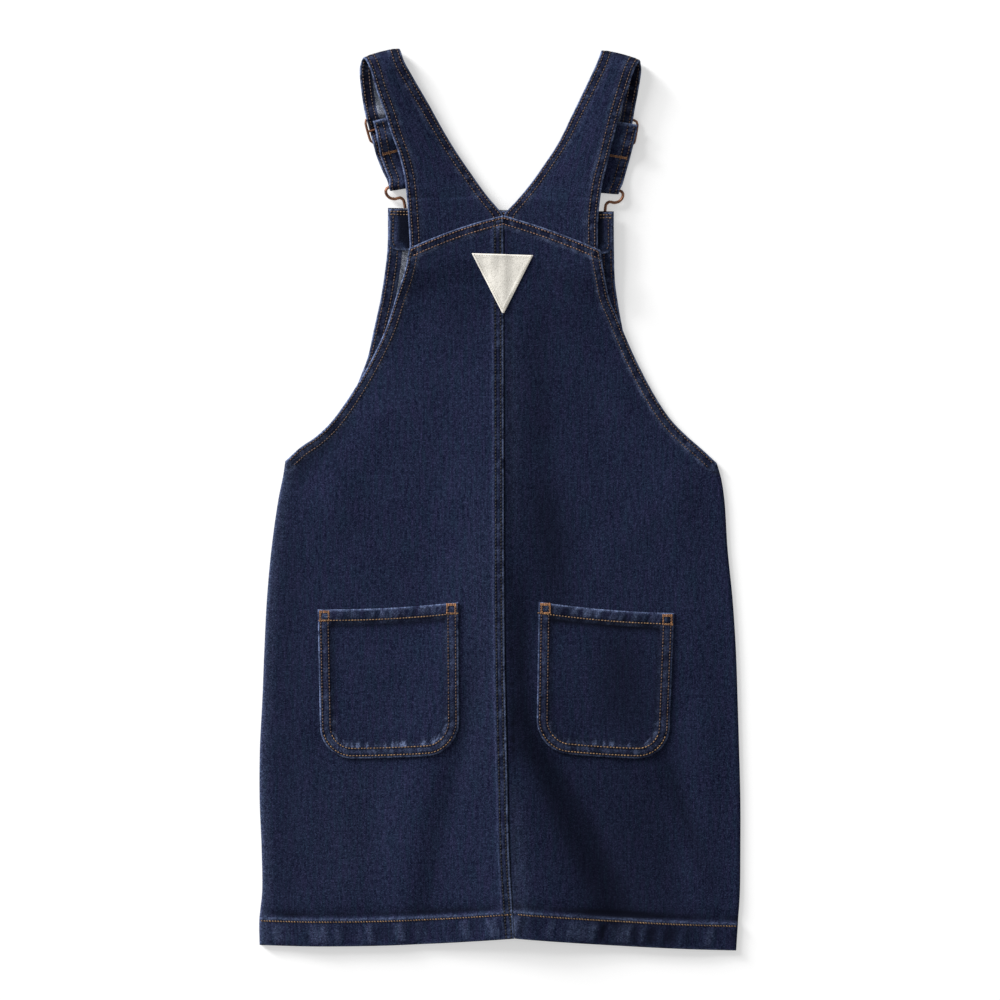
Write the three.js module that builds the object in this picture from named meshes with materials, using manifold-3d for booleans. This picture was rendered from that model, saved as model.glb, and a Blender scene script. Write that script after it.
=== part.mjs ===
// A child's denim pinafore dress, laid flat with its back up.
// Millimetres. X runs to the right of the back, Y from the hem to the shoulders, Z up from the surface.
// The origin is under the middle of the dress, on the surface it lies on.

import * as THREE from "three";
import { mergeVertices } from "three/addons/utils/BufferGeometryUtils.js";
import Module from "manifold-3d";

const wasm = await Module();
wasm.setup();

// Cloth and seams.
const PANEL_WALL = 1.2; // denim with its finish
const STRAP_WALL = 1.4; // two plies of lighter denim, pressed
const FACING_WALL = 1.0;
const POCKET_WALL = 1.2;
const LABEL_WALL = 1.0;
const SEAM_GAP = 0.3; // between pieces that are sewn or lie together
const REST_GAP = 0.45; // between curved layers, whose facets differ a little
const LABEL_GAP = 0.55; // the label bridges the felled seam
const HEM_DEPTH = 19.5; // bottom hem, from the edge to its row of stitches
const HEM_RISE = 0.9; // two more plies in the hem
const EDGE_HEM = 7; // width of the turned edges of armholes and yoke
const EDGE_RISE = 0.5;
const FRONT_INSET = 0.4; // the front's edge lies this far inside the back's
const FELL_WIDTH = 8; // felled seam down the centre back
const FELL_RISE = 0.8;
const STEP_WIDTH = 1; // how far a raised band takes to fall to the cloth beside it

// How the pieces lie on each other.
const BODY_FULLNESS = 1.6; // how far the back stands off the front away from the side seams
const FULLNESS_REACH = 45; // how far in from a side seam that takes
const BIB_LIFT_START = 110; // height on the dress where the bib starts to rise over its buttons
const BIB_LIFT_END = 205;
const BIB_LIFT_MIDDLE = 3.4;
const BIB_LIFT_CORNER = 1.8; // more at the corners, over buckle and button
const BIB_CORNER_X = 68;
const YOKE_STEP_START = 158; // where the back starts to rise over facing and yoke
const YOKE_STEP_END = 182;
const YOKE_STEP_X = 72; // how far out these are measured; the yoke reaches lower there
const YOKE_STEP_SLOPE = 0.29;
const YOKE_FALL = 0.3; // slope of the straps down from the bib's top
const YOKE_FALL_START = 240;

// Bib.
const BIB_TOP_LEFT = [-89.6, 233.4];
const BIB_TOP_RIGHT = [91.8, 230.6];
const FACING_DEPTH = 33;
const FACING_INSET = 1.6;

// Straps and their hardware.
const STRAP_WIDTH = 31;
const STRAP_END_WIDTH = 30; // drawn in by the buckle
const STRAP_COLUMNS = 4;
const STRAP_CROWN = 1; // how far the back run arches across its width
const CROWN_FROM = 0.25; // shares of the back run
const CROWN_TO = 0.85;
const FOLD_BOW = 1.5; // how far the shoulder fold bows out
const BOW_FROM = 0.7;
const BOW_TO = 1.12;
const SLIDER_WIRE = 2;
const SLIDER_HALF_WIDTH = 18.5; // the strap has play in it
const SLIDER_HALF_LENGTH = 10;
const SLIDER_AT = 55; // along the front strap from the shoulder fold
const SLIDER_HEIGHT = STRAP_WALL + SEAM_GAP + SLIDER_WIRE / 2;
const BUCKLE_WIRE = 2.4;
const BUCKLE_AT = 104.2; // the bar that the strap goes round
const BUCKLE_HEIGHT = 3.3;
const BUCKLE_SLOT = 35; // from that bar to the button
const BUCKLE_SLOT_HALF = 4.8;
const BUTTON_RADIUS = 8.5;
const BUTTON_CAP = 1.75;
const BUTTON_NECK = 3.1;
const BUTTON_TOP = 4.6;

// Left edge of the skirt, hem to underarm.
const SIDE_LEFT = [
  { x: -192.2, y: -356.6 },
  { x: -192.4, y: -336.2 },
  { x: -190.2, y: -314 },
  { x: -190.6, y: -280 },
  { x: -192.2, y: -240 },
  { x: -192, y: -200 },
  { x: -190, y: -160 },
  { x: -188.4, y: -120 },
  { x: -186.4, y: -80 },
  { x: -182.8, y: -40 },
  { x: -177.2, y: 0 },
  { x: -173.2, y: 20 },
  { x: -171.6, y: 31 },
];

const SIDE_RIGHT = [
  { x: 189.6, y: -361 },
  { x: 191.2, y: -336.2 },
  { x: 192.6, y: -314 },
  { x: 193, y: -280 },
  { x: 193, y: -240 },
  { x: 192, y: -200 },
  { x: 190.8, y: -160 },
  { x: 189.4, y: -120 },
  { x: 186.8, y: -80 },
  { x: 182.8, y: -40 },
  { x: 180.2, y: 0 },
  { x: 177.6, y: 17 },
  { x: 174, y: 29.4 },
];

// Armhole edges of the back, underarm to yoke.
const ARMHOLE_LEFT = [
  { x: -171.6, y: 31 },
  { x: -158.8, y: 42.5 },
  { x: -148.4, y: 49.5 },
  { x: -135.6, y: 61.4 },
  { x: -122, y: 79.8 },
  { x: -106.8, y: 104.6 },
  { x: -91.6, y: 135.8 },
  { x: -82.8, y: 162.2 },
  { x: -76, y: 181.5 },
  { x: -72.2, y: 200.6 },
];

const ARMHOLE_RIGHT = [
  { x: 174, y: 29.4 },
  { x: 162.8, y: 39.8 },
  { x: 150, y: 51 },
  { x: 136.8, y: 64.6 },
  { x: 123.6, y: 84.6 },
  { x: 106.4, y: 118.2 },
  { x: 93.4, y: 148.6 },
  { x: 88, y: 160.6 },
  { x: 83.6, y: 180.6 },
  { x: 80.4, y: 199.2 },
];

// Centre back seam, hem to underarm level and from there to the yoke.
const SEAM_LOW = [
  { x: 12, y: -350.6 },
  { x: 7.9, y: -288 },
  { x: 6.3, y: -224 },
  { x: 4.1, y: -120 },
  { x: 3.4, y: 45 },
];

const SEAM_HIGH = [
  { x: 3.4, y: 45 },
  { x: 3.2, y: 140 },
  { x: 3, y: 227 },
];

// How far the hem and the yoke's edge bow off the straight line between their ends.
const HEM_BOW = { left: -3.2, right: -1.4 };
const YOKE_BOW = { left: 2.3, right: 1.7 };

// Outer edges of the bib, from where they leave the back's armholes to the bib's top.
const BIB_EDGE_LEFT = [
  { x: -168, y: 31 },
  { x: -146, y: 46 },
  { x: -132, y: 60 },
  { x: -119.5, y: 79 },
  { x: -112, y: 98.2 },
  { x: -106, y: 114.2 },
  { x: -101.2, y: 135.8 },
  { x: -95.6, y: 160.6 },
  { x: -92.4, y: 180 },
  { x: -90, y: 201 },
  { x: -89.6, y: 233.4 },
];

const BIB_EDGE_RIGHT = [
  { x: 170.5, y: 29.4 },
  { x: 147.5, y: 48 },
  { x: 134, y: 62 },
  { x: 121, y: 83 },
  { x: 110.5, y: 102 },
  { x: 103, y: 120 },
  { x: 98.2, y: 141 },
  { x: 94.8, y: 160 },
  { x: 92.8, y: 175 },
  { x: 92, y: 201 },
  { x: 91.8, y: 230.6 },
];

// Soft folds of the skirt and back, each a ridge or trough along a line.
const FOLDS = [
  { name: "fall left of the seam", x1: -24, y1: 30, x2: -44, y2: -330, reach: 30, rise: 1.3 },
  { name: "hollow right of the seam", x1: 20, y1: 120, x2: 22, y2: -150, reach: 16, rise: -1.1 },
  { name: "diagonal under the right pocket", x1: 24, y1: -190, x2: 108, y2: -345, reach: 18, rise: -1.3 },
  { name: "its raised side", x1: 62, y1: -200, x2: 146, y2: -345, reach: 22, rise: 1.2 },
  { name: "fall by the left side", x1: -150, y1: -60, x2: -164, y2: -340, reach: 18, rise: 0.9 },
  { name: "hollow below the left pocket", x1: -104, y1: -215, x2: -98, y2: -345, reach: 16, rise: -0.9 },
  { name: "fall by the right side", x1: 158, y1: -60, x2: 168, y2: -340, reach: 16, rise: 0.9 },
  { name: "drag from the left underarm", x1: -150, y1: 20, x2: -70, y2: -50, reach: 16, rise: 0.8 },
  { name: "drag from the right underarm", x1: 152, y1: 20, x2: 74, y2: -56, reach: 16, rise: 0.8 },
  { name: "hollow at the left shoulder blade", x1: -62, y1: 170, x2: -84, y2: 70, reach: 16, rise: -0.7 },
  { name: "hollow at the right shoulder blade", x1: 64, y1: 168, x2: 92, y2: 66, reach: 16, rise: -0.7 },
];

// Back run of each strap, from under the back's top edge over the shoulder.
// Heights are of the cloth's middle.
const STRAP_BACK_LEFT = [
  { outerX: -71.6, outerY: 190.2, outerZ: 0, innerX: 2.7, innerY: 215.8, innerZ: 0 },
  { outerX: -71.6, outerY: 200.6, outerZ: 0, innerX: 2.7, innerY: 222, innerZ: 0 },
  { outerX: -72, outerY: 211, outerZ: 0, innerX: 2.6, innerY: 228, innerZ: 0 },
  { outerX: -72.8, outerY: 223, outerZ: 0, innerX: -1.4, innerY: 233, innerZ: 6.6 },
  { outerX: -74, outerY: 240.6, outerZ: 8.7, innerX: -10, innerY: 243, innerZ: 5.8 },
  { outerX: -76, outerY: 257.4, outerZ: 8.6, innerX: -22, innerY: 259.8, innerZ: 4.8 },
  { outerX: -80.4, outerY: 275.8, outerZ: 8.6, innerX: -34, innerY: 277.4, innerZ: 4.6 },
  { outerX: -86.8, outerY: 293.4, outerZ: 8.9, innerX: -45.2, innerY: 295.8, innerZ: 4.8 },
  { outerX: -91.6, outerY: 308.6, outerZ: 8.9, innerX: -56.4, innerY: 316, innerZ: 5 },
  { outerX: -98, outerY: 326.2, outerZ: 9, innerX: -69.2, innerY: 338, innerZ: 6 },
  { outerX: -102.8, outerY: 342.4, outerZ: 9, innerX: -76.4, innerY: 351, innerZ: 7 },
  { outerX: -106.2, outerY: 350, outerZ: 8, innerX: -78.6, innerY: 357.6, innerZ: 6.2 },
  { outerX: -108.6, outerY: 353, outerZ: 5.2, innerX: -79.8, innerY: 360.4, innerZ: 4 },
  { outerX: -110.4, outerY: 351.6, outerZ: 2, innerX: -80.4, innerY: 358.6, innerZ: 1.6 },
];

const STRAP_BACK_RIGHT = [
  { outerX: 78.8, outerY: 189, outerZ: 0, innerX: 3.6, innerY: 215.8, innerZ: 0 },
  { outerX: 78.6, outerY: 200, outerZ: 0, innerX: 3.6, innerY: 222, innerZ: 0 },
  { outerX: 78.6, outerY: 211.8, outerZ: 0, innerX: 3.8, innerY: 228, innerZ: 0 },
  { outerX: 78.8, outerY: 223, outerZ: 0, innerX: 6.6, innerY: 231.6, innerZ: 6.6 },
  { outerX: 80.4, outerY: 239.8, outerZ: 8.7, innerX: 14, innerY: 239.4, innerZ: 5.8 },
  { outerX: 82.8, outerY: 255, outerZ: 8.6, innerX: 23.8, innerY: 251.4, innerZ: 4.9 },
  { outerX: 87.4, outerY: 273.4, outerZ: 8.6, innerX: 35.6, innerY: 267.8, innerZ: 4.6 },
  { outerX: 91.6, outerY: 291, outerZ: 8.9, innerX: 47.4, innerY: 286, innerZ: 4.7 },
  { outerX: 96.4, outerY: 308.6, outerZ: 8.9, innerX: 58.4, innerY: 308.4, innerZ: 4.9 },
  { outerX: 102.4, outerY: 328, outerZ: 9, innerX: 70, innerY: 332.4, innerZ: 5.8 },
  { outerX: 107, outerY: 341.6, outerZ: 9, innerX: 77.6, innerY: 348.6, innerZ: 7 },
  { outerX: 110.2, outerY: 348.2, outerZ: 8, innerX: 80.2, innerY: 355.4, innerZ: 6.2 },
  { outerX: 112.4, outerY: 350.8, outerZ: 5.2, innerX: 81.4, innerY: 359, innerZ: 4 },
  { outerX: 113, outerY: 349.6, outerZ: 2, innerX: 81.6, innerY: 357.2, innerZ: 1.6 },
];

const YOKE_ROWS = 6; // of these lie on the bib or leave it

// Outer edge of each strap's front run, shoulder to buckle.
const STRAP_FRONT_LEFT = [
  { x: -112.2, y: 349.4 },
  { x: -111.3, y: 332.6 },
  { x: -108.7, y: 314 },
  { x: -102.6, y: 290.3 },
  { x: -96.6, y: 267.8 },
  { x: -90.6, y: 245 },
  { x: -88.4, y: 236.6 },
];

const STRAP_FRONT_RIGHT = [
  { x: 114.2, y: 348.4 },
  { x: 111.8, y: 331 },
  { x: 108.6, y: 314 },
  { x: 104.6, y: 291 },
  { x: 100.4, y: 268 },
  { x: 96.2, y: 245 },
  { x: 94.6, y: 236.2 },
];

// The front run's way through slider and buckle: distance from the shoulder fold,
// and height of the cloth's middle.
const STRAP_WEAVE = [
  { name: "on the surface", along: 4, height: 0.8 },
  { name: "on the surface", along: 20, height: 0.7 },
  { name: "before the slider", along: 35, height: 0.7 },
  { name: "up to its top bar", along: 40, height: 2.9 },
  { name: "over its top bar", along: 43.8, height: 4.75 },
  { name: "over its top bar", along: 46.2, height: 4.75 },
  { name: "down", along: 49.8, height: 2.9 },
  { name: "under its middle bar", along: 53.6, height: 0.72 },
  { name: "under its middle bar", along: 56.4, height: 0.72 },
  { name: "up", along: 60.2, height: 2.9 },
  { name: "over its lower bar", along: 63.8, height: 4.75 },
  { name: "over its lower bar", along: 66.2, height: 4.75 },
  { name: "down", along: 70, height: 2.9 },
  { name: "on the surface", along: 75, height: 0.75 },
  { name: "on the surface", along: 88, height: 0.7 },
  { name: "before the buckle", along: 98.7, height: 0.8 },
  { name: "under the buckle's bar", along: 104.2, height: 1.05 },
  { name: "round it", along: 105.8, height: 1.7 },
  { name: "round it", along: 106.45, height: 3.3 },
  { name: "round it", along: 105.8, height: 4.9 },
  { name: "over the bar", along: 104.2, height: 5.55 },
  { name: "back down", along: 98.7, height: 4 },
  { name: "on the front run", along: 91, height: 2.6 },
  { name: "on the front run", along: 77, height: 2.9 },
  { name: "up to the slider", along: 71, height: 4.9 },
  { name: "over its lower bar", along: 65, height: 6.5 },
  { name: "over the middle bar", along: 56, height: 5.1 },
  { name: "end by the top bar", along: 48.5, height: 6.3 },
];
const RETURN_FROM = 20; // row of the weave that the strap's return follows
const SLIDER_SHIFT = { left: 1.5, right: -1.2 }; // its middle, off the strap's middle towards the neck
const BUCKLE_TURN = { left: -0.1, right: 0.1 }; // the buckle hangs straighter than the strap
const TURN_START = 78; // along the front strap
const TURN_END = 100;
const BUCKLE_SHIFT = { left: 2.8, right: 0 }; // the strap is drawn towards the neck at the buckle
const RETURN_SHIFT = { left: 4.6, right: -4.4 }; // of the return, towards the neck, at the slider
const RETURN_SHIFT_LOW = { left: 1.2, right: -1.2 }; // and by the buckle

// One half of the buckle's wire, from the middle of its bar to the foot of its slot.
const BUCKLE_HALF = [
  { across: 0, down: 0 },
  { across: 9, down: 0 },
  { across: 15.8, down: 0 },
  { across: 17.7, down: 1.4 },
  { across: 18.1, down: 4.2 },
  { across: 15.8, down: 8.2 },
  { across: 11.6, down: 9.8 },
  { across: 7.6, down: 9.4 },
  { across: 5.2, down: 11.6 },
  { across: BUCKLE_SLOT_HALF, down: 16 },
  { across: BUCKLE_SLOT_HALF, down: 26 },
];
const FOOT_STEPS = 4; // to a quarter of the slot's round foot

// Patch pockets, corners as the pocket lies on the back.
const POCKETS = [
  {
    side: "left",
    topLeft: [-145.4, -87.6],
    topRight: [-33, -81.8],
    bottomLeft: [-143, -206.8],
    bottomRight: [-32.2, -202.6],
  },
  {
    side: "right",
    topLeft: [31.4, -81.6],
    topRight: [139.8, -90.6],
    bottomLeft: [29.4, -200.6],
    bottomRight: [135.2, -207.4],
  },
];
const POCKET_CORNER = 25;
const POCKET_HEM = 9;
const POCKET_RIM = 8.6;
const POCKET_RISE = 0.6;
const POCKET_LEVELS = [0, 1.5, 5, 10, 16.5, POCKET_CORNER, 45, 62, 80, 97]; // rows up from its bottom
const POCKET_COLUMNS = 6; // between its rims
const POCKET_TOP_BOW = -1.4; // its top edge is a little hollow

const LABEL_CORNERS = { left: [-22.2, 196.8], right: [26.9, 195.2], tip: [2.9, 149.2] };

const DENIM = { color: 0x20263f, roughness: 0.92, metalness: 0 };
const DENIM_INSIDE = { color: 0x4a5068, roughness: 0.94, metalness: 0 };
const LABEL_CLOTH = { color: 0xe9e6dc, roughness: 0.8, metalness: 0 };
const COPPER_WIRE = { color: 0x96613a, roughness: 0.38, metalness: 1 };

const UP = new THREE.Vector3(0, 0, 1);

const lerp = (a, b, t) => a + (b - a) * t;
const clamp01 = (t) => Math.min(1, Math.max(0, t));
const smooth = (from, to, value) => {
  const t = clamp01((value - from) / (to - from));
  return t * t * (3 - 2 * t);
};

// A smooth curve through the rows of an edge table.
function edgeCurve(rows) {
  const points = rows.map((row) => new THREE.Vector3(row.x, row.y, 0));
  return new THREE.CatmullRomCurve3(points, false, "centripetal");
}

// Points on an edge curve at given distances from its start.
function pointsAt(curve, distances) {
  const length = curve.getLength();
  return distances.map((d) => curve.getPointAt(clamp01(d / length)));
}

// Distances along an edge: some fixed ones from the start, some from the end, and even steps between.
function spacing(length, fromStart, fromEnd, steps) {
  const first = fromStart[fromStart.length - 1];
  const last = length - fromEnd[0];
  const between = [];
  for (let i = 1; i < steps; i += 1) between.push(lerp(first, last, i / steps));
  return [...fromStart, ...between, ...fromEnd.map((d) => length - d)];
}

// x of an edge at a height y, read from its table.
function edgeAt(rows, y) {
  for (let i = 1; i < rows.length; i += 1) {
    const a = rows[i - 1];
    const b = rows[i];
    if (y <= b.y || i === rows.length - 1) return lerp(a.x, b.x, clamp01((y - a.y) / (b.y - a.y)));
  }
  return rows[0].x;
}

const BACK_EDGE_LEFT = [...SIDE_LEFT, ...ARMHOLE_LEFT.slice(1)];
const BACK_EDGE_RIGHT = [...SIDE_RIGHT, ...ARMHOLE_RIGHT.slice(1)];

// Height of the front's underside: flat on the surface, and risen under the bib's top.
function frontUnder(x, y) {
  const corner = Math.min(1, (x / BIB_CORNER_X) ** 2);
  return smooth(BIB_LIFT_START, BIB_LIFT_END, y) * (BIB_LIFT_MIDDLE + BIB_LIFT_CORNER * corner);
}

// Sum of the soft folds at a place, nothing at the ends of each.
function foldHeight(x, y) {
  let height = 0;
  for (const fold of FOLDS) {
    const dx = fold.x2 - fold.x1;
    const dy = fold.y2 - fold.y1;
    const along = ((x - fold.x1) * dx + (y - fold.y1) * dy) / (dx * dx + dy * dy);
    if (along <= 0 || along >= 1) continue;
    const across = Math.hypot(x - fold.x1 - along * dx, y - fold.y1 - along * dy) / fold.reach;
    height += fold.rise * Math.exp(-across * across) * Math.sin(Math.PI * along) ** 0.7;
  }
  return height;
}

// Height of the back's underside over the front, the facing and the yoke.
function backUnder(x, y) {
  const left = x - edgeAt(BACK_EDGE_LEFT, y);
  const right = edgeAt(BACK_EDGE_RIGHT, y) - x;
  const inside = Math.max(0, Math.min(left, right));
  const stand = smooth(0, FULLNESS_REACH, inside);
  const body = REST_GAP + stand * Math.max(0, BODY_FULLNESS + foldHeight(x, y));
  const overYoke = FACING_WALL + STRAP_WALL + SEAM_GAP + 2 * REST_GAP;
  const level = y - YOKE_STEP_SLOPE * (YOKE_STEP_X - Math.abs(x));
  const step = smooth(YOKE_STEP_START, YOKE_STEP_END, level);
  return frontUnder(x, y) + PANEL_WALL + lerp(body, Math.max(body, overYoke), step);
}

// Height of the yoke's middle where it lies on the facing, and how it leaves it above the bib.
function yokeRest(x, y) {
  const onFacing = frontUnder(x, y) + PANEL_WALL + FACING_WALL + SEAM_GAP + REST_GAP + STRAP_WALL / 2;
  return onFacing - YOKE_FALL * Math.max(0, y - YOKE_FALL_START);
}

// Turns a list of points and triangles into a mesh geometry with its faces outwards.
function geometryOf(points, triangles) {
  const positions = new Float32Array(points.flat());
  let volume = 0;
  for (const [a, b, c] of triangles) {
    const [p, q, r] = [points[a], points[b], points[c]];
    volume +=
      p[0] * (q[1] * r[2] - q[2] * r[1]) -
      p[1] * (q[0] * r[2] - q[2] * r[0]) +
      p[2] * (q[0] * r[1] - q[1] * r[0]);
  }
  const facing = volume < 0 ? triangles.map(([a, b, c]) => [a, c, b]) : triangles;
  const geometry = new THREE.BufferGeometry();
  geometry.setAttribute("position", new THREE.BufferAttribute(positions, 3));
  geometry.setIndex(facing.flat());
  geometry.computeVertexNormals();
  return geometry;
}

// A closed wall between two grids of points, joined by a rim all round.
function wallBetween(outer, inner) {
  const rows = outer.length;
  const columns = outer[0].length;
  const points = [...outer.flat(), ...inner.flat()];
  const far = rows * columns;
  const at = (i, j) => i * columns + j;
  const triangles = [];
  for (let i = 0; i < rows - 1; i += 1) {
    for (let j = 0; j < columns - 1; j += 1) {
      const [a, b, c, d] = [at(i, j), at(i, j + 1), at(i + 1, j + 1), at(i + 1, j)];
      triangles.push([a, b, c], [a, c, d]);
      triangles.push([far + a, far + c, far + b], [far + a, far + d, far + c]);
    }
  }
  const rim = [];
  for (let j = 0; j < columns - 1; j += 1) rim.push(at(0, j));
  for (let i = 0; i < rows - 1; i += 1) rim.push(at(i, columns - 1));
  for (let j = columns - 1; j > 0; j -= 1) rim.push(at(rows - 1, j));
  for (let i = rows - 1; i > 0; i -= 1) rim.push(at(i, 0));
  rim.forEach((a, k) => {
    const b = rim[(k + 1) % rim.length];
    triangles.push([a, far + a, far + b], [a, far + b, b]);
  });
  return geometryOf(points, triangles);
}

// A piece of cloth that lies flat: a grid of places, its underside and its thickness at each.
function flatCloth(places, under, thickness) {
  const inner = places.map((row) => row.map((p) => [p.x, p.y, under(p)]));
  const outer = places.map((row) => row.map((p) => [p.x, p.y, under(p) + thickness(p)]));
  return wallBetween(outer, inner);
}

// How much of a raised band is left at a distance from the edge it follows.
const band = (distance, width) => 1 - smooth(width, width + STEP_WIDTH, distance);

const group = new THREE.Group();

function addNode(name, geometry, finish) {
  const mesh = new THREE.Mesh(geometry, new THREE.MeshStandardMaterial(finish));
  mesh.name = name;
  group.add(mesh);
}

// Back panels: rows from the hem to the yoke, columns from the side or armhole to the centre seam.
function backPanel(side) {
  const isLeft = side === "left";
  const sideCurve = edgeCurve(isLeft ? SIDE_LEFT : SIDE_RIGHT);
  const armCurve = edgeCurve(isLeft ? ARMHOLE_LEFT : ARMHOLE_RIGHT);
  const low = edgeCurve(SEAM_LOW);
  const high = edgeCurve(SEAM_HIGH);
  const hemBow = HEM_BOW[side];
  const topBow = YOKE_BOW[side];
  const hemRows = [0, HEM_DEPTH, HEM_DEPTH + STEP_WIDTH];
  const topRows = [EDGE_HEM + STEP_WIDTH, EDGE_HEM, 0];
  const outerLow = pointsAt(sideCurve, spacing(sideCurve.getLength(), hemRows, [0], 17));
  const seamLow = pointsAt(low, spacing(low.getLength(), hemRows, [0], 17));
  const outerHigh = pointsAt(armCurve, spacing(armCurve.getLength(), [0], topRows, 14));
  const seamHigh = pointsAt(high, spacing(high.getLength(), [0], topRows, 14));
  const edge = [...outerLow, ...outerHigh.slice(1)];
  const seam = [...seamLow, ...seamHigh.slice(1)];
  const places = edge.map((from, i) => {
    const to = seam[i].clone();
    to.x += isLeft ? 0 : SEAM_GAP;
    const width = from.distanceTo(to);
    const fell = isLeft ? [FELL_WIDTH + STEP_WIDTH, FELL_WIDTH, 0] : [FELL_WIDTH, 0];
    const distances = spacing(width, [0, EDGE_HEM, EDGE_HEM + STEP_WIDTH], fell, 8);
    const level = i / (edge.length - 1);
    const bow = lerp(hemBow, 0, clamp01(level * 6)) + topBow * smooth(0.75, 1, level);
    return distances.map((d) => {
      const t = d / width;
      const y = lerp(from.y, to.y, t) + bow * 4 * t * (1 - t);
      const rise = i < hemRows.length ? hemRows[i] : HEM_DEPTH * 2;
      const drop = edge.length - 1 - i;
      const fall = drop < topRows.length ? topRows[topRows.length - 1 - drop] : EDGE_HEM * 2;
      const onArmhole = i >= outerLow.length - 1;
      return {
        x: lerp(from.x, to.x, t),
        y,
        fromHem: rise,
        fromTop: fall,
        fromSeam: width - d,
        fromArmhole: onArmhole ? d : EDGE_HEM * 2,
      };
    });
  });
  const thickness = (p) =>
    PANEL_WALL +
    Math.max(
      HEM_RISE * band(p.fromHem, HEM_DEPTH),
      EDGE_RISE * band(p.fromTop, EDGE_HEM),
      EDGE_RISE * band(p.fromArmhole, EDGE_HEM),
      isLeft ? FELL_RISE * band(p.fromSeam, FELL_WIDTH) : 0,
    );
  return flatCloth(places, (p) => backUnder(p.x, p.y), thickness);
}

// Front, bib and skirt in one: it lies on the surface, and its bib rises over buckles and buttons.
function frontPanel() {
  const leftLow = edgeCurve(SIDE_LEFT);
  const rightLow = edgeCurve(SIDE_RIGHT);
  const leftHigh = edgeCurve(BIB_EDGE_LEFT);
  const rightHigh = edgeCurve(BIB_EDGE_RIGHT);
  const rowsOf = (low, high) => [
    ...pointsAt(low, spacing(low.getLength(), [0, HEM_DEPTH, HEM_DEPTH + STEP_WIDTH], [0], 10)),
    ...pointsAt(high, spacing(high.getLength(), [0], [0], 14)).slice(1),
  ];
  const left = rowsOf(leftLow, leftHigh);
  const right = rowsOf(rightLow, rightHigh);
  const hem = edgeCurve([SIDE_LEFT[0], SEAM_LOW[0], SIDE_RIGHT[0]]);
  const columns = 12;
  const places = left.map((from, i) => {
    const to = right[i];
    const level = i / (left.length - 1);
    const row = [];
    for (let j = 0; j <= columns; j += 1) {
      const t = j / columns;
      const sag = (hem.getPoint(t).y - lerp(SIDE_LEFT[0].y, SIDE_RIGHT[0].y, t)) * (1 - clamp01(level * 4));
      row.push({
        x: lerp(from.x + FRONT_INSET, to.x - FRONT_INSET, t),
        y: lerp(from.y, to.y, t) + sag + (i === 0 ? FRONT_INSET : 0),
      });
    }
    return row;
  });
  return flatCloth(places, (p) => frontUnder(p.x, p.y), () => PANEL_WALL);
}

// The bib's top edge, folded to the inside and stitched down.
function bibFacing() {
  const rows = 4;
  const columns = 14;
  const places = [];
  for (let i = 0; i <= rows; i += 1) {
    const down = lerp(FACING_DEPTH, 1, i / rows);
    const leftY = BIB_TOP_LEFT[1] - down;
    const rightY = BIB_TOP_RIGHT[1] - down;
    const leftX = edgeAt(BIB_EDGE_LEFT, leftY) + FACING_INSET;
    const rightX = edgeAt(BIB_EDGE_RIGHT, rightY) - FACING_INSET;
    const row = [];
    for (let j = 0; j <= columns; j += 1) {
      const t = j / columns;
      row.push({ x: lerp(leftX, rightX, t), y: lerp(leftY, rightY, t) });
    }
    places.push(row);
  }
  const under = (p) => frontUnder(p.x, p.y) + PANEL_WALL + SEAM_GAP;
  return flatCloth(places, under, () => FACING_WALL);
}

// A band of cloth between two edge curves that are given as matched rows of points.
function ribbon(outerRow, innerRow, thickness, columns, stepsPerRow, crown, restShare) {
  const outerEdge = new THREE.CatmullRomCurve3(outerRow, false, "centripetal");
  const innerEdge = new THREE.CatmullRomCurve3(innerRow, false, "centripetal");
  const stations = (outerRow.length - 1) * stepsPerRow;
  const middle = (t, u) => {
    const p = outerEdge.getPoint(t).lerp(innerEdge.getPoint(t), u);
    const arch = 4 * u * (1 - u);
    p.z += crown(t).lift * arch;
    p.y += crown(t).push * arch;
    if (t < restShare) p.z = Math.max(p.z, yokeRest(p.x, p.y));
    return p;
  };
  const top = [];
  const bottom = [];
  const small = 1e-3;
  for (let i = 0; i <= stations; i += 1) {
    const t = i / stations;
    const topRow = [];
    const bottomRow = [];
    for (let j = 0; j <= columns; j += 1) {
      const u = j / columns;
      const ahead = middle(Math.min(1, t + small), u).sub(middle(Math.max(0, t - small), u));
      const aside = middle(t, Math.min(1, u + small)).sub(middle(t, Math.max(0, u - small)));
      const normal = ahead.cross(aside).normalize().multiplyScalar(thickness / 2);
      const p = middle(t, u);
      topRow.push([p.x + normal.x, p.y + normal.y, Math.max(0, p.z + normal.z)]);
      bottomRow.push([p.x - normal.x, p.y - normal.y, Math.max(0, p.z - normal.z)]);
    }
    top.push(topRow);
    bottom.push(bottomRow);
  }
  return wallBetween(top, bottom);
}

// Place and direction on a strap's front run, at a distance from the shoulder fold.
function frontRun(side) {
  const curve = edgeCurve(side === "left" ? STRAP_FRONT_LEFT : STRAP_FRONT_RIGHT);
  const length = curve.getLength();
  const towardsNeck = side === "left" ? 1 : -1;
  return (along) => {
    const t = clamp01(along / length);
    const tangent = curve.getTangentAt(t);
    const square = new THREE.Vector3(-tangent.y, tangent.x, 0).multiplyScalar(towardsNeck);
    const atBuckle = smooth(TURN_START, TURN_END, along);
    const aside = STRAP_WIDTH / 2 + BUCKLE_SHIFT[side] * atBuckle;
    const middle = curve.getPointAt(t).addScaledVector(square, aside);
    const turn = BUCKLE_TURN[side] * atBuckle;
    const across = square.clone().applyAxisAngle(UP, turn);
    const down = tangent.clone().applyAxisAngle(UP, turn);
    return { middle, down, across };
  };
}

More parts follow.
